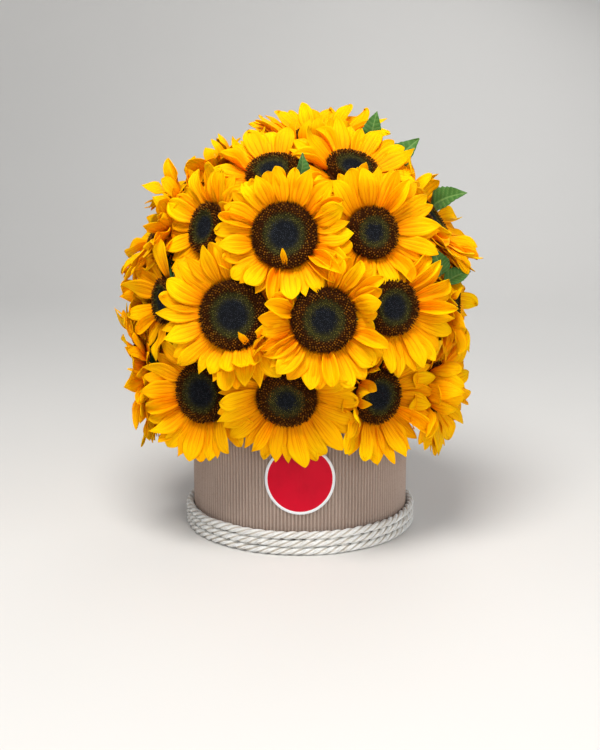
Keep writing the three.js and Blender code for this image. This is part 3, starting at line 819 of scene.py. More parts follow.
@dataclass(frozen=True)
class StickerFinish(Finish):
    """A round paper sticker: red, with a white border and a faint print grain."""

    name: str = "sticker"
    roughness: float = 0.45
    specular: float = 0.12
    red: Colour = (0.62, 0.001, 0.020)
    deep: Colour = (0.50, 0.001, 0.015)
    white: Colour = (0.86, 0.88, 0.90)
    border: float = 0.92
    blur: float = 0.004

    def dress(self, paint: Paint) -> None:
        """Writes the red, the white border and the grain.

        Args:
            paint: The material's nodes.
        """
        grain = paint.blotches(1800.0, 2.0)
        inside = paint.over(self.red, self.deep, paint.blotches(90.0, 1.6), 0.4, 1, 0.5)
        starts, ends = self.border - self.blur, self.border + self.blur
        paint.set("Base Color", paint.over(inside, self.white, paint.along(), starts, ends, 1))
        paint.set("Roughness", paint.spread(grain, 0, 1, 0.32, 0.45))
        paint.bump(grain, 0.00005, 0.4)


@dataclass(frozen=True)
class FoamFinish(Finish):
    """Wet floral foam: dark green, crumbly and full of fine pores."""

    name: str = "floral foam"
    roughness: float = 0.95
    specular: float = 0.2
    face: Colour = (0.030, 0.085, 0.045)
    pore: Colour = (0.008, 0.026, 0.014)

    def dress(self, paint: Paint) -> None:
        """Writes the pores and lumps.

        Args:
            paint: The material's nodes.
        """
        pores, lumps = paint.blotches(900.0, 4.0), paint.blotches(120.0, 2.0)
        colour = paint.over(self.face, self.pore, pores, 0.4, 0.9, 1)
        paint.set("Base Color", paint.over(colour, self.pore, lumps, 0.4, 1, 0.5))
        paint.bump(paint.sum("ADD", pores, lumps), 0.0008, 0.9)


@dataclass(frozen=True)
class FloorFinish(Finish):
    """A plain pale sweep of paper."""

    name: str = "floor"
    roughness: float = 0.7
    specular: float = 0.3
    pale: Colour = (0.72, 0.71, 0.69)
    darker: float = 0.97

    def dress(self, paint: Paint) -> None:
        """Writes the pale paper, very faintly clouded."""
        cloud = tuple(self.darker * part for part in self.pale)
        paint.set("Base Color", paint.mix(self.pale, cloud, paint.blotches(3.0, 1.0)))


# ---------------------------------------------------------------- the flowers


class TipForm(Enum):
    """How a petal ends: its widest place, how its sides close past it, and how deep its teeth are."""

    POINTED = (0.50, 1.65, 0.94, 0.00)
    OGIVE = (0.56, 2.1, 0.74, 0.00)
    BLUNT = (0.62, 2.6, 0.60, 0.03)
    TOOTHED = (0.60, 2.6, 0.66, 0.12)


FORM_SHARES = {TipForm.POINTED: 0.32, TipForm.OGIVE: 0.36, TipForm.BLUNT: 0.12, TipForm.TOOTHED: 0.20}


@dataclass(frozen=True)
class Blade:
    """The run of one petal in its flower's frame."""

    line: np.ndarray
    across: np.ndarray
    width: float

    @property
    def angle(self) -> float:
        """The way it points, round the flower."""
        return math.atan2(self.line[1, 1], self.line[1, 0])

    def twisted(self, degrees: float) -> "Blade":
        """Turns its outer half about its run.

        Args:
            degrees: How far.

        Returns:
            The turned run.
        """
        along = unit(self.line[-1] - self.line[1])
        turn = math.radians(degrees)
        outer = self.across[1] * math.cos(turn) + np.cross(along, self.across[1]) * math.sin(turn)
        return Blade(self.line, np.array([self.across[0], outer]), self.width)


@dataclass
class PetalMaker:
    """Fine petals built on a blade's run: pleated lengthwise, with a groove between each two pleats.

    A start is a share of a petal's length, and a power shapes a rise along it or across it.
    """

    thickness: float = 0.5
    knots: tuple[float, ...] = (0.0, 0.32, 0.70, 1.0)
    crowding: float = 1.15
    probe: float = 0.02
    root_share: float = 0.36
    least_share: float = 0.03
    swell_power: float = 2.2
    pleats: int = 4
    pleat_widths: tuple[float, float] = (0.7, 1.3)
    steps: int = 3
    pleat_height: float = 0.6
    relief_powers: tuple[float, float] = (0.8, 0.6)
    tip_start: float = 0.6
    tooth_rate: float = 1.1
    tooth_shift: float = 0.5
    skew: float = 0.3
    twist: float = 0.28
    twist_power: float = 1.5
    folded_share: float = 0.14
    folded_cup: tuple[float, float] = (0.7, 1.2)
    open_cup: tuple[float, float] = (-0.15, 0.35)
    wave_height: tuple[float, float] = (0.5, 2.2)
    wave_count: tuple[float, float] = (1.0, 1.9)
    wave_phase: float = 6.3
    wave_power: float = 2.5
    curl_start: float = 0.55
    bow: float = 0.07
    vein_patterns: int = 40
    groove_fade: float = 0.6
    groove_end: float = 0.99

    def columns(self, dice: np.random.Generator) -> tuple[np.ndarray, np.ndarray]:
        """Lays out its columns of points.

        Args:
            dice: For the pleats' widths.

        Returns:
            Where each lies across the petal, from -1 to 1, and how high it is on its pleat, from 0 to 1.
        """
        widths = dice.uniform(*self.pleat_widths, self.pleats)
        grooves = np.concatenate([[0], np.cumsum(widths)]) / widths.sum() * 2 - 1
        number = np.arange(self.pleats * self.steps + 1)
        across = np.interp(number / self.steps, np.arange(self.pleats + 1), grooves)
        return across, np.abs(np.sin(np.pi * number / self.steps))

    def half_width(self, t: np.ndarray, form: TipForm) -> np.ndarray:
        """Works out the half width along a petal.

        Args:
            t: Where along it.
            form: How it ends.

        Returns:
            The half width there, as a share of its most.
        """
        peak, close, blunt, _ = form.value
        swell = 1 - (1 - np.clip(t / peak, 0, 1)) ** self.swell_power
        narrow = (1 - beyond(peak, t) ** close) ** blunt
        return (self.root_share + (1 - self.root_share) * swell) * np.maximum(narrow, self.least_share)

    def run(self, blade: Blade, reach: np.ndarray) -> tuple[np.ndarray, np.ndarray, np.ndarray]:
        """Follows a blade.

        Args:
            blade: Its run.
            reach: How far along it each point of the grid is.

        Returns:
            The middle there, the way across the blade and the way its face looks.
        """
        spots = [np.clip(reach + step, 0, 1) for step in (-self.probe, 0, self.probe)]
        before, line, after = (through(blade.line, self.knots, spot) for spot in spots)
        ahead = unit(after - before)
        turn = smoothstep(self.knots[1], self.knots[2], reach)[..., None]
        across = unit(blade.across[0] * (1 - turn) + blade.across[1] * turn)
        across = unit(across - ahead * np.sum(across * ahead, -1, keepdims=True))
        return line, across, np.cross(ahead, across)

    def add(
        self,
        shape: Shape,
        blade: Blade,
        form: TipForm,
        dice: np.random.Generator,
        rows: int,
        tone: float,
        curl: float,
    ) -> None:
        """Adds one petal to a shape, in its flower's frame.

        Args:
            shape: What it is added to.
            blade: Its run.
            form: How it ends.
            dice: For its folds and waves.
            rows: Points along it.
            tone: How orange it is.
            curl: How far its tip bends towards its face, in millimetres.
        """
        t = (np.sin(np.linspace(0, np.pi / 2, rows)) ** self.crowding)[:, None]
        u, crown = self.columns(dice)
        *_, depth = form.value
        shift = dice.uniform(-self.tooth_shift, self.tooth_shift)
        teeth = depth * (1 - np.abs(np.cos(self.tooth_rate * np.pi * u + shift)))
        fade = beyond(self.tip_start, t) ** 2
        line, across, face = self.run(blade, np.clip(t - fade * teeth, 0, 1))
        roll = (dice.normal(0, self.twist) * t**self.twist_power)[..., None]
        side = across * np.cos(roll) + face * np.sin(roll)
        face = face * np.cos(roll) - across * np.sin(roll)
        cup = dice.uniform(*(self.folded_cup if dice.random() < self.folded_share else self.open_cup))
        inner, outer = self.relief_powers
        relief = np.sin(np.pi * t**inner) ** outer
        half = self.half_width(t, form) * blade.width / 2
        skew = 1 + dice.uniform(-self.skew, self.skew) * np.sign(u) * fade
        bend = self.pleat_height * crown * relief + cup * half * u**2
        waves = np.where(u < 0, dice.uniform(0, self.wave_phase), dice.uniform(0, self.wave_phase))
        swing = np.sin(2 * np.pi * dice.uniform(*self.wave_count) * t + waves)
        bend = bend + dice.uniform(*self.wave_height) * np.abs(u) ** self.wave_power * swing * relief
        bend = bend + curl * beyond(self.curl_start, t) ** 2
        length = np.linalg.norm(blade.line[-1] - blade.line[0])
        beside = u * half * skew / math.sqrt(1 + cup * cup)
        beside = beside + dice.normal(0, self.bow) * length * t**2
        grid = line + side * beside[..., None] + face * bend[..., None]
        place = grid_places(0.5 + 0.5 * u, t) + (math.floor(dice.uniform(0, self.vein_patterns)), 0)
        # painted shade down each groove between pleats, weaker towards the tip
        groove = (1 - crown) * (np.abs(u) < self.groove_end) * (1 - self.groove_fade * t)
        shape.add(plate(grid, self.thickness), np.tile(place, (2, 1)), tone, np.tile(groove.ravel(), 2))


@dataclass(frozen=True)
class Stray:
    """A short petal that stands up from a disc's rim. Its angles are in degrees."""

    bloom: int
    around: float
    length: float
    width: float
    rise: float
    curl: float
    form: TipForm = TipForm.OGIVE
    foot_share: float = 0.97
    foot_height: float = 0.5
    parts: tuple[float, ...] = (0.32, 0.38, 0.30)

    def blade(self, radius: float) -> Blade:
        """Works out its run.

        Args:
            radius: Of the disc.

        Returns:
            Its run, from just inside the disc's rim.
        """
        out, left = level_ways(math.radians(self.around))
        line = [out * radius * self.foot_share + UP * self.foot_height]
        for number, share in enumerate(self.parts):
            way = math.radians(self.rise + self.curl * number / 2)
            line.append(line[-1] + share * self.length * (out * math.cos(way) + UP * math.sin(way)))
        return Blade(np.array(line), np.array([left, left]), self.width)


# Head by head: how much smaller its dark heart is than the usual one.
RIPENESS = {
    1: 0.85, 2: 0.85, 3: 0.8, 4: 0.8, 5: 1.22, 6: 0.8, 7: 0.78, 8: 1.1, 9: 0.8, 10: 0.65, 11: 1.35, 12: 0.62,
}

# Blades that would show only their edges, by head and number round it, and how far they turn, in degrees.
TWISTED = {(14, 9): 70, (14, 8): 45, (19, 0): -65, (19, 13): -40}

# Short petals over the rims of the heads at the front and the edges.
STRAYS = (
    Stray(1, -72, 19, 13, 84, 30),
    Stray(2, -38, 19, 12, 66, 25),
    Stray(2, -62, 24, 15, 84, 22),
    Stray(2, -90, 19, 13, 74, 34),
    Stray(4, -91, 18, 5.5, 122, 34),
    Stray(7, -38, 22, 12, 74, 30, TipForm.POINTED),
    Stray(7, -48, 24, 18, 66, 22, TipForm.TOOTHED),
    Stray(7, -58, 27, 16, 48, 32),
    Stray(7, -72, 18, 7, 120, 25, TipForm.POINTED),
    Stray(7, -72, 29, 15, 34, 26, TipForm.POINTED),
    Stray(7, -88, 27, 17, 38, 26, TipForm.TOOTHED),
    Stray(7, -106, 26, 15, 32, 24),
    Stray(12, 158, 28, 11, 50, 30, TipForm.POINTED),
    Stray(12, 178, 23, 11, 78, 34, TipForm.TOOTHED),
    Stray(12, 198, 29, 11, 52, 40, TipForm.POINTED),
    Stray(12, 216, 22, 10, 74, 30, TipForm.POINTED),
    Stray(12, 234, 26, 12, 36, 20),
    Stray(13, -88, 32, 16, 62, 40, TipForm.POINTED),
    Stray(13, -108, 37, 18, 74, 42),
    Stray(13, -127, 40, 18, 64, 44, TipForm.POINTED),
    Stray(13, -147, 36, 17, 76, 38),
    Stray(13, -168, 33, 16, 60, 40, TipForm.TOOTHED),
    Stray(14, -52, 27, 16, 62, 30, TipForm.POINTED),
    Stray(14, -26, 30, 17, 52, 36, TipForm.TOOTHED),
    Stray(15, 118, 26, 15, 60, 30),
    Stray(15, 146, 30, 17, 74, 26, TipForm.POINTED),
    Stray(15, 172, 27, 16, 66, 36, TipForm.TOOTHED),
    Stray(15, 200, 29, 17, 72, 24),
    Stray(19, -62, 22, 14, 60, 30),
    Stray(19, -34, 26, 16, 72, 28, TipForm.POINTED),
    Stray(19, -8, 28, 17, 66, 30),
    Stray(19, 18, 26, 16, 74, 26, TipForm.TOOTHED),
    Stray(19, 46, 28, 16, 64, 30, TipForm.POINTED),
    Stray(20, -28, 24, 15, 70, 40),
    Stray(20, -58, 28, 16, 78, 34, TipForm.TOOTHED),
    Stray(20, -88, 30, 17, 74, 30),
    Stray(20, -118, 28, 16, 80, 36, TipForm.POINTED),
    Stray(20, -150, 24, 15, 72, 40),
)


@dataclass(frozen=True)
class FurtherRow:
    """A row of petals behind the first.

    Each points part of the way from one first blade to the next, its four knots fall below theirs, it has a
    share of their length, and it stands so much further out.
    """

    mix: float
    fall: tuple[float, float, float, float]
    reach: float = 1.0
    spread: float = 1.0


FURTHER_ROWS = (
    FurtherRow(0.5, (1.2, 2.2, 2.8, 3.0), spread=1.02),
    FurtherRow(0.5, (1.8, 4.964, 6.94, 7.0), reach=0.97),
    FurtherRow(0.0, (1.8, 7.064, 10.94, 12.0), reach=0.90),
    FurtherRow(0.5, (1.8, 9.484, 15.64, 18.0), reach=0.80),
)


@dataclass(frozen=True)
class FloretZone:
    """Florets between two shares of a disc's radius: their gap, height, width and lean outwards."""

    low: float
    high: float
    gap: float
    height: tuple[float, float]
    width: float
    lean: tuple[float, float]


BUDS = FloretZone(0.0, 0.60, 1.55, (0.6, 0.95), 0.85, (0.0, 0.1))
OPEN_FLORETS = FloretZone(0.60, 1.0, 2.1, (1.5, 2.9), 0.84, (0.15, 0.9))
CHAFF = FloretZone(0.90, 0.98, 0.75, (2.3, 3.7), 0.80, (1.2, 3.0))


@dataclass
class Bloom:
    """One flower head, read from its packed disc and petals."""

    number: int
    middle: np.ndarray
    turn: np.ndarray
    radius: float
    blades: list[Blade] = field(default_factory=list)
    rim_corners: int = 10
    blade_corners: int = 7
    ring_overhang: float = 1.5
    ring_slack: float = 0.15
    ring_top: float = -0.5
    ring_bottom: float = -5.6
    petal_start: float = -3.6
    root_sink: float = 1.2
    petals: int = 17
    widest_step: float = 1.7
    edge_heads: range = range(14, 21)
    front_widths: tuple[float, float] = (0.88, 1.16)
    back_widths: tuple[float, float] = (0.72, 0.98)
    front_points: int = 14
    back_points: int = 12
    end_stretch: tuple[float, float] = (-0.22, 0.02)
    knot_shares: tuple[float, float] = (0.4, 1.0)
    unevenness: float = 0.4
    most_curl: float = 4.0
    bent_share: float = 0.1
    bent_by: float = 7.0
    front_tone: float = 0.6
    # painted shade: the extra orange tone of the rows behind the first
    back_row_shade: float = 0.4
    stray_tones: tuple[float, float] = (0.2, 0.8)
    stray_curl: float = 2.0
    cushion_sides: int = 40
    bowl_height: float = 2.9
    bowl_share: float = 0.1
    shoulder_rise: float = 1.9
    shoulder: float = 0.8
    shoulder_power: float = 2.2
    rim_drop: float = 0.72
    collar_sides: int = 36
    collar_inset: float = 1.0
    collar_bevel: float = 2.0
    collar_lip: float = 1.5
    collar_light: float = 0.12
    floret_sway: float = 0.18
    floret_root: float = 0.9
    floret_waist: float = 0.5
    waist_light: float = 0.2
    ring_blur: float = 0.03
    heart_edge: tuple[float, float] = (0.3, 0.8)
    cushion_shares: tuple[float, ...] = (1.0, 0.985, 0.93, 0.86, 0.76, 0.64, 0.5, 0.35, 0.2)

    @property
    def ripeness(self) -> float:
        """How much smaller its dark heart is than the usual one, as a factor on the places in its disc."""
        return RIPENESS.get(self.number, 1.0 + 0.06 * (self.number * 7 % 5))

    @property
    def facing(self) -> np.ndarray:
        """The way its face looks."""
        return self.turn[:, 2]

    @property
    def further_rows(self) -> tuple[FurtherRow, ...]:
        """The rows behind its first: one on the front, all four at the edge of the view, and two beyond."""
        count = 1 if self.number < self.edge_heads[0] else 4 if self.number in self.edge_heads else 2
        return FURTHER_ROWS[:count]

    @classmethod
    def read(cls, number: int) -> "Bloom":
        """Reads a flower from the frame.

        Args:
            number: Of the flower.

        Returns:
            The flower, with the runs of its blades.
        """
        points, _ = corners(f"disc_{number:02d}")
        mean = points.mean(0)
        rim = points[np.argsort(np.linalg.norm(points - mean, axis=1))[-cls.rim_corners:]]
        middle = rim.mean(0)
        _, _, axes = np.linalg.svd(rim - middle)
        facing = axes[2] * np.sign(np.dot(axes[2], mean - middle))
        turn = np.array(Vector((0, 0, 1)).rotation_difference(Vector(facing)).to_matrix())
        bloom = cls(number, middle, turn, float(np.linalg.norm(rim - middle, axis=1).mean()))
        bloom.blades = bloom.read_blades()
        return bloom

    def read_blades(self) -> list[Blade]:
        """Reads its blades: the groups of corners outside its ring that faces join.

        Returns:
            Their runs, in order round the head.
        """
        points, faces = corners(f"petals_{self.number:02d}")
        local = (points - self.middle) @ self.turn
        outside = np.hypot(local[:, 0], local[:, 1]) > self.radius + self.ring_overhang + self.ring_slack
        owner = {i: {i} for i in np.flatnonzero(outside)}
        for face in faces:
            kept = [i for i in face if outside[i]]
            for i in kept[1:]:
                joined = owner[kept[0]] | owner[i]
                for member in joined:
                    owner[member] = joined
        groups = [sorted(group) for group in {id(group): group for group in owner.values()}.values()]
        blades = [self.blade_from(local[group]) for group in groups if len(group) == self.blade_corners]
        return sorted(blades, key=lambda blade: blade.angle)

    def blade_from(self, points: np.ndarray) -> Blade:
        """Works out a blade's run.

        Args:
            points: Its seven corners past its root: two stations of three, and the tip.

        Returns:
            The run, from inside the ring to the tip.
        """
        out, left = level_ways(math.atan2(points[:, 1].mean(), points[:, 0].mean()))
        root = out * (self.radius + self.ring_overhang - self.root_sink) + UP * self.petal_start
        order = np.argsort(np.linalg.norm(points - root, axis=1))
        line = [root]
        sides = []
        for station in (points[order[:3]], points[order[3:6]]):
            ends = [(station[0], station[1]), (station[0], station[2]), (station[1], station[2])]
            start, end = max(ends, key=lambda pair: np.linalg.norm(pair[0] - pair[1]))
            line.append((start + end) / 2)
            sides.append((end - start) * np.sign(np.dot(end - start, left)))
        line.append(points[order[-1]])
        sides = np.array(sides)
        return Blade(np.array(line), unit(sides), np.linalg.norm(sides, axis=1).max())

    def out(self, points: np.ndarray) -> np.ndarray:
        """Points of its frame in the whole object's frame."""
        return points @ self.turn.T + self.middle

    def further_blades(self, row: FurtherRow) -> list[Blade]:
        """Works out the blades of a row behind the first.

        Args:
            row: Which row.

        Returns:
            Their runs. Where two first blades are far apart, none stands between them.
        """
        made = []
        for one, other in zip(self.blades, self.blades[1:] + self.blades[:1]):
            if (other.angle - one.angle) % (2 * np.pi) > self.widest_step * 2 * np.pi / self.petals:
                continue
            line = one.line * (1 - row.mix) + other.line * row.mix
            line = line[0] + (line - line[0]) * row.reach
            line = line * (row.spread, row.spread, 1) - np.array(row.fall)[:, None] * UP
            made.append(Blade(line, unit(one.across + other.across), (one.width + other.width) / 2))
        return made

    def build_petals(self, maker: PetalMaker, finish: bpy.types.Material) -> bpy.types.Object:
        """Builds the rows of petals and the short ones that stand up from the rim.

        Args:
            maker: What makes each petal.
            finish: Their material.

        Returns:
            The piece.
        """
        dice = Seed.PETALS.dice(self.number)
        shape = Shape()
        forms = list(FORM_SHARES)
        shares = list(FORM_SHARES.values())
        rows = [[blade.twisted(TWISTED.get((self.number, i), 0)) for i, blade in enumerate(self.blades)]]
        rows += [self.further_blades(row) for row in self.further_rows]
        for number, blades in enumerate(rows):
            behind = number > 0
            for blade in blades:
                form = forms[dice.choice(len(forms), p=shares)]
                line = blade.line.copy()
                stretch = (line[3] - line[2]) * dice.uniform(*self.end_stretch)
                line[2:] += np.array(self.knot_shares)[:, None] * stretch
                line[1:] += dice.normal(0, self.unevenness, 3)
                width = blade.width * dice.uniform(*(self.back_widths if behind else self.front_widths))
                curl = dice.choice([-1, 1]) * dice.uniform(0, self.most_curl)
                curl += self.bent_by * (dice.random() < self.bent_share)
                # a random tone, plus painted shade on the rows behind
                tone = dice.uniform(0, self.front_tone) + self.back_row_shade * behind
                points = self.back_points if behind else self.front_points
                maker.add(shape, Blade(line, blade.across, width), form, dice, points, tone, curl)
        for stray in STRAYS:
            if stray.bloom == self.number:
                run = stray.blade(self.radius)
                tone = dice.uniform(*self.stray_tones)
                maker.add(shape, run, stray.form, dice, self.back_points, tone, self.stray_curl)
        shape.points = [self.out(points) for points in shape.points]
        return shape.build(f"bloom_{self.number:02d}_petals", finish)

    def build_disc(self, finish: bpy.types.Material) -> bpy.types.Object:
        """Builds the seed disc: a hollowed cushion on a collar, covered in florets along the golden angle.

        Args:
            finish: Its material.

        Returns:
            The piece.
        """
        dice = Seed.DISC.dice(self.number)
        shape = Shape()
        profile = [(share * self.radius, float(self.cushion(share))) for share in self.cushion_shares]
        body = lathe([(0, 0.0), *profile, (0, float(self.cushion(0.0)))], self.cushion_sides)
        out = np.hypot(body[0][:, 0], body[0][:, 1]) / self.radius
        shape.add(body, grid_places(np.zeros(1), out[:, None]))
        edge = self.radius + self.ring_overhang - self.collar_inset
        low, high, bevel = self.ring_bottom, self.ring_top, self.collar_bevel
        collar = lathe([
            (0, low), (edge - bevel, low), (edge, low + bevel),
            (edge, high - self.collar_lip), (edge - bevel, high), (0, high),
        ], self.collar_sides)
        shape.add(collar, np.tile((0.0, 1.0), (len(collar[0]), 1)), 0.5, self.collar_light)
        for zone in (BUDS, OPEN_FLORETS):
            count = math.pi * self.radius**2 / (math.sqrt(0.75) * zone.gap**2)
            step = np.arange(int(count * zone.low**2), int(count * zone.high**2)) + 0.5
            self.add_florets(shape, dice, zone, np.sqrt(step / count), step * GOLDEN_ANGLE)
        count = int(2 * math.pi * self.radius / CHAFF.gap)
        share = dice.uniform(CHAFF.low, CHAFF.high, count)
        self.add_florets(shape, dice, CHAFF, share, dice.uniform(0, 2 * math.pi, count))
        shape.points = [self.out(points) for points in shape.points]
        return shape.build(f"bloom_{self.number:02d}_disc", finish, smooth=False)

    def cushion(self, share: float | np.ndarray) -> np.ndarray:
        """Height of the seed disc's ground at a share of its radius."""
        bowl = self.bowl_height + self.shoulder_rise * smoothstep(self.bowl_share, self.shoulder, share)
        return bowl * (1 - beyond(self.shoulder, share) ** self.shoulder_power * self.rim_drop)

    def add_florets(
        self, shape: Shape, dice: np.random.Generator, zone: FloretZone, share: np.ndarray, angle: np.ndarray
    ) -> None:
        """Adds a pointed floret at each place: a foot, four corners at its waist and a tip.

        Args:
            shape: What they are added to.
            dice: For their sizes and leans.
            zone: What kind they are.
            share: How far out each is, as a share of the disc's radius.
            angle: Which way out it is.
        """
        count = len(share)
        height = dice.uniform(*zone.height, count)
        lean = np.interp(share, (zone.low, zone.high), zone.lean)
        out, left = level_ways(angle)
        up = unit(UP + out * lean[:, None] + left * dice.normal(0, self.floret_sway, count)[:, None])
        foot = out * (share * self.radius)[:, None] + UP * self.cushion(share)[:, None]
        waist = foot + up * (self.floret_waist * height)[:, None]
        first = unit(np.cross(up, left))
        second = np.cross(up, first)
        twist = dice.uniform(0, np.pi / 2, count)
        points = [foot - up * self.floret_root]
        for k in range(4):
            a = (twist + k * np.pi / 2)[:, None]
            points.append(waist + (first * np.cos(a) + second * np.sin(a)) * (zone.width * zone.gap / 2))
        points.append(foot + up * height[:, None])
        under = [[0, 1 + k % 4, k, k] for k in range(1, 5)]
        upper = [[5, k, 1 + k % 4, 1 + k % 4] for k in range(1, 5)]
        faces = (np.array(under + upper)[None] + 6 * np.arange(count)[:, None, None]).reshape(-1, 4)
        ring = share + dice.normal(0, self.ring_blur, count)
        ring = ring * np.interp(share, self.heart_edge, (self.ripeness, 1))
        tone = np.zeros(count) if zone is CHAFF else dice.uniform(0, 1, count)
        place = grid_places(np.zeros(1), np.repeat(ring, 6)[:, None])
        light = np.tile((0, *4 * (self.waist_light,), 1), count)
        shape.add((np.stack(points, 1).reshape(-1, 3), faces), place, np.repeat(tone, 6), light)


# ---------------------------------------------------------------- bracts, stems and leaves


@dataclass(frozen=True)
class LeafPlace:
    """Where a leaf stands, before it is moved out of the dome: its base and tip and how its face looks."""

    base: Spot
    tip: Spot
    azimuth: float
    elevation: float

    @property
    def facing(self) -> np.ndarray:
        """The way its face looks."""
        a, e = math.radians(self.azimuth), math.radians(self.elevation)
        return np.array([math.sin(a) * math.cos(e), -math.cos(a) * math.cos(e), math.sin(e)])


# Leaves in dark gaps between the heads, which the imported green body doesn't have.
GAP_LEAVES = (
    LeafPlace((-98, 6, 222), (-126, -6, 262), -55, 5),
    LeafPlace((-100, 24, 236), (-122, 34, 276), -75, 20),
    LeafPlace((100, -8, 214), (128, -20, 240), 50, 5),
    LeafPlace((-24, 42, 286), (-54, 70, 318), 215, 40),
    LeafPlace((-48, 34, 295), (-37, 81, 313), 215, 45),
)

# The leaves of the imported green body.
LEAVES = (
    LeafPlace((64, 8, 354), (70, 5, 386), -10, 20),
    LeafPlace((78, -2, 331), (108, -6, 362), 0, 30),
    LeafPlace((122, 18, 298), (153, -2, 313), 10, 35),
    LeafPlace((124, -72, 248), (114, -84, 274), 25, 0),
    LeafPlace((128, -66, 240), (152, -52, 248), 30, 50),
    LeafPlace((-2, -103, 330), (2, -101, 356), 40, 20),
    LeafPlace((122, 34, 216), (156, 50, 226), 110, 40),
    LeafPlace((15, 124, 212), (24, 160, 226), 175, 45),
    LeafPlace((-38, 108, 272), (-50, 142, 290), 195, 50),
    LeafPlace((-92, 96, 190), (-124, 112, 200), 220, 40),
)


